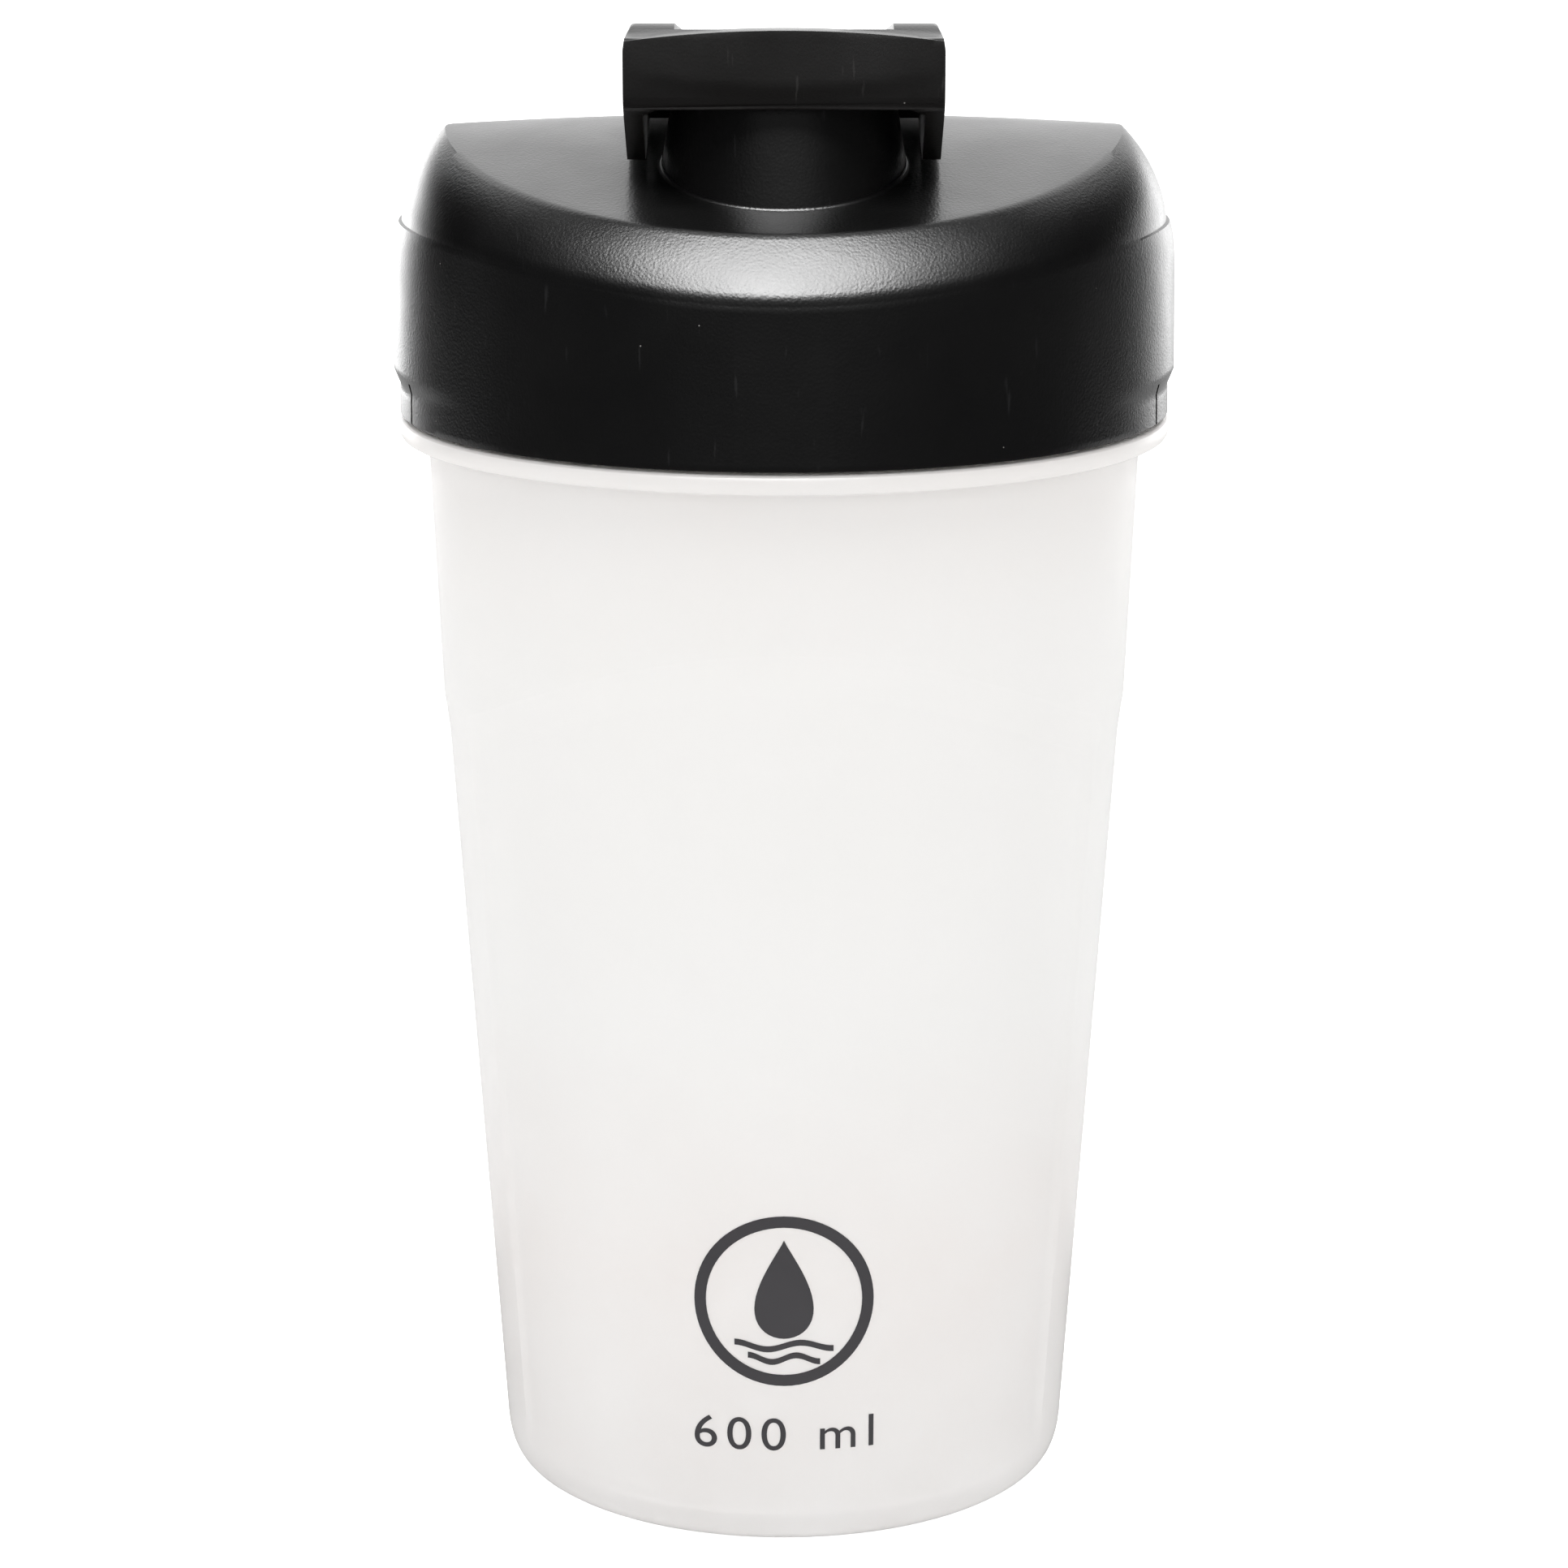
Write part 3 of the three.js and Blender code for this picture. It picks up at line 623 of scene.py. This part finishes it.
def flatShape(data):  # a bmesh of the filled curve or text, in millimetres
    holder = bpy.data.objects.new("flat", data)
    bpy.context.scene.collection.objects.link(holder)
    mesh = bpy.data.meshes.new_from_object(holder.evaluated_get(bpy.context.evaluated_depsgraph_get()))
    shape = bmesh.new()
    shape.from_mesh(mesh)
    bpy.data.objects.remove(holder)
    bpy.data.meshes.remove(mesh)
    bmesh.ops.remove_doubles(shape, verts=shape.verts, dist=0.001)
    return shape


def stretched(shape, width, baseZ, centreX=0.0):
    xs = [v.co.x for v in shape.verts]
    low, high = min(xs), max(xs)
    factor = width / (high - low) if width else 1.0
    for vert in shape.verts:
        vert.co.x = (vert.co.x - (low + high) / 2) * factor + centreX
        vert.co.y += baseZ
    return shape


# lays flat shapes on the wall of the cup; facing is 0 for the front and 180 for the back
def wrapPrint(name, shapes, facing, material):
    points, faces = [], []
    for shape in shapes:
        xs = [v.co.x for v in shape.verts]
        cut = math.floor(min(xs) / ink["strip"]) * ink["strip"]
        while cut < max(xs):
            parts = shape.verts[:] + shape.edges[:] + shape.faces[:]
            bmesh.ops.bisect_plane(shape, geom=parts, dist=0.0005, plane_co=(cut, 0, 0), plane_no=(1, 0, 0))
            cut += ink["strip"]
        shape.verts.ensure_lookup_table()
        shape.verts.index_update()
        start = len(points)
        for vert in shape.verts:
            z = vert.co.y
            angle = facing * degree + vert.co.x / lowWall(z)
            radius = outerRadius(angle, z) + ink["lift"]
            points.append((radius * math.sin(angle), -radius * math.cos(angle), z))
        faces += [tuple(start + v.index for v in face.verts) for face in shape.faces]
        shape.free()
    piece = newPiece(name, points, faces)
    thick = piece.modifiers.new("thick", "SOLIDIFY")
    thick.thickness = ink["thickness"] * mm
    thick.offset = 0
    bake(piece)
    return finished(piece, material, "cup")


def circleLoop(radius, centreZ, count=72):
    turns = [2 * math.pi * i / count for i in range(count)]
    return [(radius * math.cos(t), centreZ + radius * math.sin(t)) for t in turns]


def dropLoop(size, centreZ, count=48):
    loop = []
    for i in range(count):
        t = 2 * math.pi * i / count
        loop.append((size * 0.62 * math.sin(t) * math.sin(t / 2) ** 1.3 * 1.25, centreZ + size * math.cos(t)))
    return loop


def waveLoop(width, centreZ, thick, rise, count=28):
    xs = spread(-width / 2, width / 2, count)
    wave = [centreZ + rise * math.sin(2 * math.pi * x / width * 1.5) for x in xs]
    top = [(x, z + thick / 2) for x, z in zip(xs, wave)]
    low = [(x, z - thick / 2) for x, z in zip(xs, wave)]
    return top + low[::-1]


def rectangle(x0, z0, x1, z1):
    return [(x0, z0), (x1, z0), (x1, z1), (x0, z1)]


def filled(*loops):
    return flatShape(flatCurve("loops", loops))


def lettering(text, height, width, baseZ, centreX=0.0, spacing=1.0):
    return stretched(flatShape(flatText(text, height, spacing)), width, baseZ, centreX)


def markShapes():
    z = mark["centreZ"]
    waves = [filled(waveLoop(width, z - drop, mark["waveStroke"], mark["waveRise"]))
             for width, drop in zip(mark["waveWidths"], mark["waveDrops"])]
    return [filled(circleLoop(mark["ring"], z), circleLoop(mark["ring"] - mark["stroke"], z)),
            filled(dropLoop(mark["drop"], z + mark["dropRise"])), *waves]


def volumeHeight(millilitres):  # how high that much drink stands in the tapered cup
    z = cup["footRecess"] + cup["floor"]
    left, step = millilitres * 1000.0, 0.25
    while left > 0:
        left -= math.pi * (outerRadius(math.pi / 2, z) - cup["wall"]) ** 2 * step
        z += step
    return z


def scaleShapes():
    headerZ = scale["high"] - scale["header"]
    barLow, barHigh = (scale["high"] - drop for drop in scale["bar"])
    dark = [lettering("ml", scale["letters"], 0, headerZ, -9.5),
            lettering("fl oz", scale["letters"], 0, headerZ, 8.5),
            filled(rectangle(-15.5, barLow, -2.5, barHigh)), filled(rectangle(2, barLow, 15.5, barHigh))]
    pale = []
    for volume in scale["volumes"]:
        z = volumeHeight(volume)
        if not scale["low"] - scale["lowMargin"] < z < scale["high"] - scale["highMargin"]:
            continue
        whole = volume % 100 == 0
        top, digitZ = z + scale["stroke"], z - scale["digitDrop"]
        pale.append(filled(rectangle(-4.6 if whole else -3.4, z, 0.2, top)))
        pale.append(filled(rectangle(0.9, z, 5.2 if whole else 4.0, top)))
        if whole:
            pale.append(lettering(str(volume), scale["digits"], 0, digitZ, -9.4))
            pale.append(lettering(str(round(volume / scale["ounce"])), scale["digits"], 0, digitZ, 8.8))
    return dark, pale


wrapPrint("frontMark", markShapes(), 0, darkInk)
label = lettering(capacity["text"], capacity["height"], capacity["width"], capacity["z"],
                  spacing=capacity["spacing"])
wrapPrint("capacityPrint", [label], 0, darkInk)
scaleDark, scalePale = scaleShapes()
wrapPrint("scaleHeader", scaleDark, 180, darkInk)
wrapPrint("scaleMarks", scalePale, 180, paleInk)
print("printing ready")


# the lid, with its spout and hinge

lid = dict(gap=0.3, skirtGap=1.2, skirtWall=1.65, draft=0.4, wall=2, bevelAboveSeat=6.9, crestAboveBevel=11.7,
           bevelWidth=5.6, bevelDrop=5.2, topDrop=9.9, ridgeEase=0.25, topSag=1.3, bulge=(0.2, 0.9),
           bulgePull=(1.5, 1.2), edgeRound=1.0, wingReach=1.1, wingAngle=40, wingBottom=5.9, wingChamfer=2.4,
           wingTop=(8, 7.4), wingPanel=0.3, slitAngle=18, slitWidth=0.7, slitHeight=5.3, plugGap=0.4,
           plugWall=1.45, plugDepth=7.3, seat=1.3, seal=1.9)
spout = dict(y=-20, base=15.3, taper=2.3, wall=1.8, height=6.8, fillet=0.5, lip=0.6, root=12, boreRoot=14)
hinge = dict(y=12, rise=5.2, pin=1.5, pinGap=0.15, pinEnd=1.2, pinTip=0.3, holeEnd=0.9, boss=4.3, knuckle=3.9,
             footFront=1.2, footRear=3.9, footSpread=1.5, round=0.4)
cap = dict(sideGap=1.2, wall=2.2, frontGap=0.9, frontDepth=8.8, legDepth=16.2, legSetback=14.6,
           legClearance=0.9, openingRound=2.5, crown=3.8, crownFall=2.9, arch=0.5, earSetback=6.5,
           earRamp=2.6, arm=5.9, armRise=0.8, overhang=3, knuckleGap=0.5, pegLength=3.6, peg=3,
           stopperFlange=1.4)

lidBottom = flangeTop + lid["gap"]
skirtInner = neckRadius + lid["skirtGap"]
lidRadius = skirtInner + lid["skirtWall"]
seatZ = rimZ + lid["seal"] + 2 * lid["gap"]
bevelZ = seatZ + lid["bevelAboveSeat"]
crestZ = bevelZ + lid["crestAboveBevel"]
bevelOuter = lidRadius - lid["draft"]
topRadius = bevelOuter - lid["bevelWidth"]
plugOuter = neckInner - lid["plugGap"]
plugInner = plugOuter - lid["plugWall"]
spoutTop = spout["base"] - spout["taper"]
spoutTopZ = crestZ + spout["height"]
hingeZ = crestZ + hinge["rise"]
crownUnderZ = spoutTopZ + cap["stopperFlange"] + 2 * lid["gap"]
crownZ = crownUnderZ + cap["crown"]
armZ = crownZ + cap["armRise"]
capHalf = spout["base"] + cap["sideGap"] + cap["wall"]
armInner = capHalf - cap["arm"]


def fallAt(radius, angle):  # how far the outside lies below the top of the ridge
    inside = min(radius, topRadius) / topRadius
    ease = lid["ridgeEase"]
    roof = (math.hypot(inside * math.cos(angle), ease) - ease) / (math.hypot(1, ease) - ease)
    top = lid["topDrop"] * roof + lid["topSag"] * (inside * math.sin(angle)) ** 2
    edge = lid["bevelDrop"] * abs(math.cos(angle)) ** 3
    return lerp(top, edge, clamp((radius - topRadius) / lid["bevelWidth"]))


def topHeight(radius, angle):
    return crestZ - fallAt(min(radius, topRadius), angle)


def edgeHeight(angle):  # lower edge of the bevel
    return bevelZ - lid["bevelDrop"] * abs(math.cos(angle)) ** 3


def wingBulge(angle, z, edgeZ):
    side = abs(math.asin(clamp(abs(math.cos(angle))))) / (lid["wingAngle"] * degree)
    around = 0.5 + 0.5 * math.cos(math.pi * min(side, 1.0))
    low = lidBottom + lid["wingBottom"] - lid["wingChamfer"]
    rise = clamp((z - low) / lid["wingChamfer"])
    fall = math.sqrt(clamp(1 - clamp((z - (edgeZ - lid["wingTop"][0])) / lid["wingTop"][1]) ** 3))
    panel = lid["wingPanel"] if z < low + 0.4 else 0
    return around * max(lid["wingReach"] * rise * fall, panel)


def skirtRow(share):
    def row(angle):
        edgeZ = edgeHeight(angle)
        z = lerp(lidBottom + 0.4, edgeZ - lid["edgeRound"], share)
        radius = lidRadius - lid["draft"] * (z - lidBottom) / (bevelZ - lidBottom)
        return radius + wingBulge(angle, z, edgeZ), z
    return row


def bevelRow(share):  # from the skirt, round the edge and up the crowned bevel
    def row(angle):
        edge = (bevelOuter, edgeHeight(angle))
        inner = (topRadius, topHeight(topRadius, angle))
        bulge = lerp(*lid["bulge"], math.sin(angle) ** 2)  # nearly flat at the front, full at the sides
        pull = [lerp(edge[k], inner[k], 0.5) + lid["bulgePull"][k] * bulge for k in (0, 1)]
        reach = math.dist(edge, pull)
        turnEnd = [lerp(edge[k], pull[k], lid["edgeRound"] / reach) for k in (0, 1)]
        start = (bevelOuter + 0.012, edge[1] - lid["edgeRound"])
        if share < 0.3:
            return bend(start, edge, turnEnd, 30)[round(share / 0.3 * 30)]
        t = (share - 0.3) / 0.7
        weights = ((1 - t) ** 2, 2 * t * (1 - t), t * t)
        return tuple(sum(w * p[k] for w, p in zip(weights, (turnEnd, pull, inner))) for k in (0, 1))
    return row


def topRow(radius, lower=0.0):
    return lambda angle: (radius, topHeight(radius, angle) - lower)


def ceilingRow(radius, lower):
    return lambda angle: (radius, max(topHeight(radius, angle) - lower, seatZ + lid["seat"] + 0.4))


def cornerRow(radius):
    return lambda angle: (radius, max(bevelZ - 0.3 - fallAt(radius, angle), seatZ + lid["seat"] + 0.4))


def lidOutside():
    rows = [(0, lidBottom), (30, lidBottom), (lidRadius - 0.35, lidBottom),
            (lidRadius - 0.1, lidBottom + 0.12)]
    rows += [skirtRow(t) for t in spread(0, 1, 40)]
    rows += [bevelRow(t) for t in spread(0.03, 0.3, 8)]
    rows += [bevelRow(t) for t in spread(0.37, 1, 11)[:-1]]
    rows += [topRow(topRadius + 0.05, 0.05), topRow(topRadius - 0.5)]
    rows += [topRow(topRadius * t) for t in spread(0.96, 0.03, 24)] + [(0, crestZ)]
    return turned("lidBody", rows, 288)


def lidCavity():
    corner, reach = skirtInner - 1.1, skirtInner + thread["lidRoot"]
    plugBottom, seatTop = seatZ - lid["plugDepth"], seatZ + lid["seat"]
    rows = [(0, lidBottom - 1), (30, lidBottom - 1), (reach, lidBottom - 1), (reach, lidBottom),
            (skirtInner, lidBottom + 0.5), (skirtInner, seatZ), (plugOuter, seatZ),
            (plugOuter, plugBottom + 0.3), (plugOuter - 0.4, plugBottom), (plugInner, plugBottom),
            (plugInner, seatTop), (corner, seatTop), cornerRow(corner)]
    rows += [ceilingRow((topRadius - 1) * t, lid["wall"]) for t in spread(1, 0.05, 14)]
    return turned("lidCavity", rows + [(0, crestZ - lid["wall"])], 288)


def spoutRadius(z):
    return lerp(spout["base"], spoutTop, (z - crestZ + 8) / (spoutTopZ - crestZ + 8))


def surfaceUnder(angle, radius):  # lid surface below a point round the spout
    x, y = radius * math.sin(angle), spout["y"] - radius * math.cos(angle)
    return topHeight(math.hypot(x, y), math.atan2(x, -y))


def filletRow(share):
    def row(angle):
        size, wallR = spout["fillet"], spoutRadius(surfaceUnder(angle, spout["base"]))
        outer = wallR + size
        foot, head = surfaceUnder(angle, outer), surfaceUnder(angle, wallR) + size
        return bend((outer, foot), (wallR, surfaceUnder(angle, wallR)), (wallR - 0.02, head), 8)[share]
    return row


def makeLid():
    foot, low = crestZ - spout["root"], crestZ - spout["boreRoot"]
    cone = turned("spoutCone", [(0, foot), (spoutRadius(foot), foot)]
                  + [(spoutRadius(z), z) for z in spread(foot + 2, spoutTopZ - 1.2, 10)]
                  + softened([(spoutRadius(spoutTopZ - 1), spoutTopZ - 1),
                              (spoutTop, spoutTopZ, spout["lip"]), (spoutTop - 4, spoutTopZ)])[1:]
                  + [(0, spoutTopZ)], 144, spout["y"])
    under = [(lambda a: (spoutRadius(crestZ) - 1.0, surfaceUnder(a, spout["base"]) + 0.4)),
             (lambda a: (spoutRadius(crestZ) - 1.0, surfaceUnder(a, spout["base"]) - 0.8)),
             (lambda a: (spout["base"] + spout["fillet"] * 0.9, surfaceUnder(a, spout["base"] + 0.8) - 0.6))]
    collar = turned("spoutFillet", under + [filletRow(i) for i in range(9)], 144, spout["y"])
    mouth = spoutTop - spout["wall"]
    bore = turned("spoutBore", [(0, low)]
                  + [(spoutRadius(z) - spout["wall"], z) for z in spread(low, spoutTopZ - 0.5, 6)]
                  + [(mouth + 0.12, spoutTopZ - 0.2), (mouth + 0.5, spoutTopZ + 0.05),
                     (mouth + 0.5, spoutTopZ + 1), (0, spoutTopZ + 1)], 144, spout["y"])
    knuckleHalf = armInner - cap["knuckleGap"]
    left, right = hinge["y"] - hinge["knuckle"], hinge["y"] + hinge["knuckle"]
    arc = [(hinge["y"] + hinge["knuckle"] * math.cos(t), hingeZ + hinge["knuckle"] * math.sin(t))
           for t in spread(0, math.pi, 24)]
    sole = [(left - hinge["footSpread"], crestZ - hinge["footFront"]),
            (right + hinge["footSpread"], crestZ - hinge["footRear"]), (right + 0.35, crestZ - 1)]
    knuckle = extruded("knuckle", sole + arc + [(left - 0.35, crestZ + 0.6)], "x", -knuckleHalf, knuckleHalf)
    rounded(knuckle, hinge["round"], 3, 40)
    pinHole = pinRod("pinHole", hinge["pin"] + hinge["pinGap"], capHalf + 1)
    slits = []
    for side in (90, 270):
        for off in (-lid["slitAngle"], lid["slitAngle"]):
            slit = block("slit", (-lid["slitWidth"] / 2, skirtInner - 1, lidBottom - 1),
                         (lid["slitWidth"] / 2, lidRadius + 3, lidBottom + lid["slitHeight"]))
            slit.rotation_euler = (0, 0, (side + off) * degree)
            slits.append(slit)
    bpy.context.view_layer.update()
    piece = lidOutside()
    combine(piece, "UNION", cone, collar, knuckle)
    combine(piece, "DIFFERENCE", lidCavity(), bore, pinHole, *slits)
    ridgeZ = rimZ - thread["drop"] - thread["height"] - thread["play"]
    combine(piece, "UNION", *threadRidges("lidThread", skirtInner + thread["lidRoot"],
                                          neckRadius + thread["sideGap"], thread["lidSpan"], ridgeZ))
    return finished(piece, lidPlastic, "lid", ["lid"], 28)


def pinRod(name, radius, half, tip=0.0):
    rows = [(-half, 0)] + ([(-half, radius - tip), (-half + tip, radius)] if tip else [(-half, radius)])
    rows += [(-x, r) for x, r in rows[::-1]]
    points, faces, count = [], [], 48
    for i in range(count):
        t = 2 * math.pi * i / count
        points += [(x, hinge["y"] + r * math.cos(t), hingeZ + r * math.sin(t)) for x, r in rows]
    n = len(rows)
    for i in range(count):
        a, b = i * n, ((i + 1) % count) * n
        faces += [(a + k, b + k, b + k + 1, a + k + 1) for k in range(n - 1)]
    return newPiece(name, points, faces)


makeLid()
finished(pinRod("hingePin", hinge["pin"], capHalf - hinge["pinEnd"], hinge["pinTip"]), pinPlastic, "lid",
         ["hinge_pin"])
print("lid ready")


# the seal under the lid and the mixing grid

strainer = dict(thickness=1.6, rimHeight=3, rimWidth=2.4, pitch=10.4, hole=8.2, corner=1.2, rise=0.6,
                margin=0.4, round=0.18)
seal = dict(sideGap=0.7, round=0.5)


def makeSeal():
    low, high = rimZ + lid["gap"], rimZ + lid["gap"] + lid["seal"]
    inner, outer, size = plugOuter + lid["gap"], skirtInner - seal["sideGap"], seal["round"]
    rows = softened([(inner, low, size), (outer, low, size), (outer, high, size), (inner, high, size)])
    finished(turned("sealRing", rows, 240), sealRubber, "seal", ["lid_seal"])


def makeStrainer():
    outer = plugInner - lid["gap"]
    inner = outer - strainer["rimWidth"]
    low = seatZ - lid["plugDepth"] + strainer["rise"]
    plate, rim = low + strainer["thickness"], low + strainer["rimHeight"]
    rows = softened([(0, low), (outer, low, 0.4), (outer, rim, 0.5), (inner, rim, 0.5), (inner, plate, 0.5),
                     (0, plate)])
    piece = turned("strainerGrid", rows, 144)
    reach, half = math.floor(outer / strainer["pitch"]), strainer["hole"] / 2
    corner = strainer["corner"]
    for i in range(-reach, reach + 1):
        for j in range(-reach, reach + 1):
            x, y = i * strainer["pitch"], j * strainer["pitch"]
            if math.hypot(abs(x) + half, abs(y) + half) > inner - strainer["margin"]:
                continue
            loop = softened([(x - half, y - half, corner), (x + half, y - half, corner),
                             (x + half, y + half, corner), (x - half, y + half, corner)], 3)
            combine(piece, "DIFFERENCE", extruded("hole", loop, "z", low - 1, plate + 1))
    rounded(piece, strainer["round"], 2, 60)
    finished(piece, strainerPlastic, "lid", ["strainer"])


makeSeal()
makeStrainer()
print("seal and strainer ready")


# the flip cap and the rubber stopper in it

capLook = dict(rimDepth=5.2, rimArch=1.2, rimDip=0.45, crownDip=0.6, faceRise=0.3, faceRound=3.0,
               legRound=1.6, earRound=1.4, rampRound=1.0, rimRound=1.2, lean=0.5, crease=0.45, creaseZ=181.6,
               creaseSag=2.0, creaseBlend=1.3, creaseWidth=1.1, step=1.5, stepUp=0.45, round=0.45)
stopper = dict(depth=4.6, tipGap=0.6, sideGap=0.3)


def lidUnderLeg(y):
    return crestZ - fallAt(math.hypot(capHalf, y), math.atan2(capHalf, y))


def capSide(front):  # outline of the cap and its arms, seen from the side
    rimZ, bottomZ = crownZ - cap["arch"], crownZ - cap["frontDepth"]
    legY, earY = front + cap["legSetback"], front + cap["earSetback"]
    bossTop, bossFoot = hingeZ + hinge["boss"], hingeZ - hinge["boss"]
    under = [(y, lidUnderLeg(y) + cap["legClearance"]) for y in spread(legY + 1, 0, 7)]
    boss = [(hinge["y"] + hinge["boss"] * math.cos(t), hingeZ + hinge["boss"] * math.sin(t))
            for t in spread(-math.pi / 2, math.pi / 2, 28)]
    low = softened([(front, crownZ - 3), (front, bottomZ + 0.6, capLook["legRound"]),
                    (legY - 0.6, crownZ - cap["legDepth"], capLook["legRound"]),
                    (legY + 3, under[1][1])])[1:-1]
    high = softened([(hinge["y"], bossTop), (earY, armZ, capLook["earRound"]),
                     (earY - cap["earRamp"], rimZ, capLook["rampRound"]), (front, rimZ, capLook["rimRound"]),
                     (front, bottomZ)])[1:-1]
    return low + under[1:] + [(hinge["y"] - 3, bossFoot)] + boss + high


def creaseShift(x, y, z, front):  # the front wall leans back above and below a sagging crease
    crease = capLook["creaseZ"] + capLook["creaseSag"] * (x / capHalf) ** 2
    lean = capLook["lean"] * clamp((z - crease) / (crownZ - capLook["creaseZ"])) ** 1.5
    middle = clamp(capLook["creaseWidth"] * (1 - (x / capHalf) ** 2))
    tuck = capLook["crease"] * smooth((crease - z) / capLook["creaseBlend"]) * middle
    depth = 1 - smooth((y - front) / (cap["wall"] - 0.4))
    return (lean + tuck) * depth


def shapeFront(piece, front):
    work = bmesh.new()
    work.from_mesh(piece.data)
    across = (-capHalf, capHalf, (1, 0, 0), capLook["step"])
    upwards = (crownZ - cap["frontDepth"], crownZ, (0, 0, 1), capLook["step"] * capLook["stepUp"])
    for low, high, axis, step in (across, upwards):
        for level in spread(low, high, round((high - low) / step))[1:-1]:
            near = [f for f in work.faces if min(v.co.y for v in f.verts) < (front + 0.2) * mm]
            parts = {*near, *(e for f in near for e in f.edges), *(v for f in near for v in f.verts)}
            bmesh.ops.bisect_plane(work, geom=list(parts), dist=0.001 * mm, plane_no=axis,
                                   plane_co=tuple(level * mm * k for k in axis))
    for vert in work.verts:
        x, y, z = (c / mm for c in vert.co)
        if y < front + cap["wall"] and z > crownZ - cap["frontDepth"] - 4:
            vert.co.y += creaseShift(x, y, z, front) * mm
    work.to_mesh(piece.data)
    work.free()


def archOutline(half, rise, closeZ):  # an arch with its middle at height 0, closed up or down to closeZ
    return [(-half, closeZ)] + bend((-half, -rise), (0, rise), (half, -rise), 24) + [(half, closeZ)]


def makeCap():
    bottomZ = crownZ - cap["frontDepth"]
    innerFront = spout["y"] - spoutRadius(bottomZ) - cap["frontGap"]
    front = innerFront - cap["wall"]
    innerHalf = capHalf - cap["wall"]
    rear = hinge["y"] + hinge["boss"]
    crownRear = spout["y"] + spoutTop + cap["overhang"]
    body = extruded("flipCap", capSide(front), "x", -capHalf, capHalf)
    rim = extruded("rim", archOutline(capHalf, capLook["rimArch"], -3), "y",
                   front, front + capLook["rimDepth"])
    rim.location = (0, 0, (armZ - capLook["rimDip"]) * mm)
    bpy.context.view_layer.update()
    combine(body, "UNION", rim)
    topZ, corner = armZ + capLook["faceRise"], capLook["faceRound"]
    face = softened([(-capHalf, crestZ - 15), (capHalf, crestZ - 15), (capHalf, topZ, corner),
                     (-capHalf, topZ, corner)])
    combine(body, "INTERSECT", extruded("face", face, "y", front - 1, rear + 1))
    over = extruded("overCrown", archOutline(armInner, cap["arch"], 12), "y", capLook["rimDepth"], 60)
    over.rotation_euler = (-math.atan2(cap["crownFall"], crownRear - front), 0, 0)
    over.location = (0, front * mm, (armZ - capLook["crownDip"]) * mm)
    size = cap["openingRound"]
    opening = softened([(-innerHalf, 100), (innerHalf, 100), (innerHalf, bottomZ, size),
                        (-innerHalf, bottomZ, size)], 8)
    tools = [over, extruded("opening", opening, "y", front - 1, innerFront + 1),
             block("inside", (-innerHalf, innerFront, 100),
                   (innerHalf, crownRear - cap["wall"], crownUnderZ)),
             block("behind", (-armInner, crownRear, 100), (armInner, 60, crownZ + 10)),
             block("rearEdge", (-armInner, crownRear - cap["wall"] - 1, 100),
                   (armInner, crownRear + 1, crownUnderZ))]
    bpy.context.view_layer.update()
    combine(body, "DIFFERENCE", *tools)
    peg = turned("peg", [(0, crownUnderZ - cap["pegLength"]), (cap["peg"], crownUnderZ - cap["pegLength"]),
                         (cap["peg"], crownUnderZ + 0.5), (0, crownUnderZ + 0.5)], 48, spout["y"])
    combine(body, "UNION", peg)
    combine(body, "DIFFERENCE",
            pinRod("capPinHole", hinge["pin"] + hinge["pinGap"], capHalf - hinge["holeEnd"]))
    shapeFront(rounded(body, capLook["round"], 3, 38), front)
    return finished(body, capPlastic, "cap", ["flip_cap"], 30)


def makeStopper():
    topZ, flangeZ = crownUnderZ - lid["gap"], spoutTopZ + lid["gap"]
    plug, rim = spoutTop - spout["wall"] - stopper["sideGap"], spoutTop - stopper["sideGap"]
    tip, tipZ = plug - stopper["tipGap"], flangeZ - stopper["depth"]
    hole, holeZ = cap["peg"] + lid["gap"], crownUnderZ - cap["pegLength"] - lid["gap"]
    rows = softened([(0, tipZ), (tip - 0.3, tipZ, 0.9), (tip, tipZ + 1.4, 0.5), (plug - 0.5, tipZ + 2.1, 0.4),
                     (plug, flangeZ, 0.3), (rim, flangeZ, 0.3), (rim, topZ, 0.3), (hole, topZ, 0.2),
                     (hole, holeZ), (0, holeZ)])
    finished(turned("spoutStopper", rows, 96, spout["y"]), stopperRubber, "cap", ["spout_stopper"])


makeCap()
makeStopper()
print("flip cap and stopper ready")
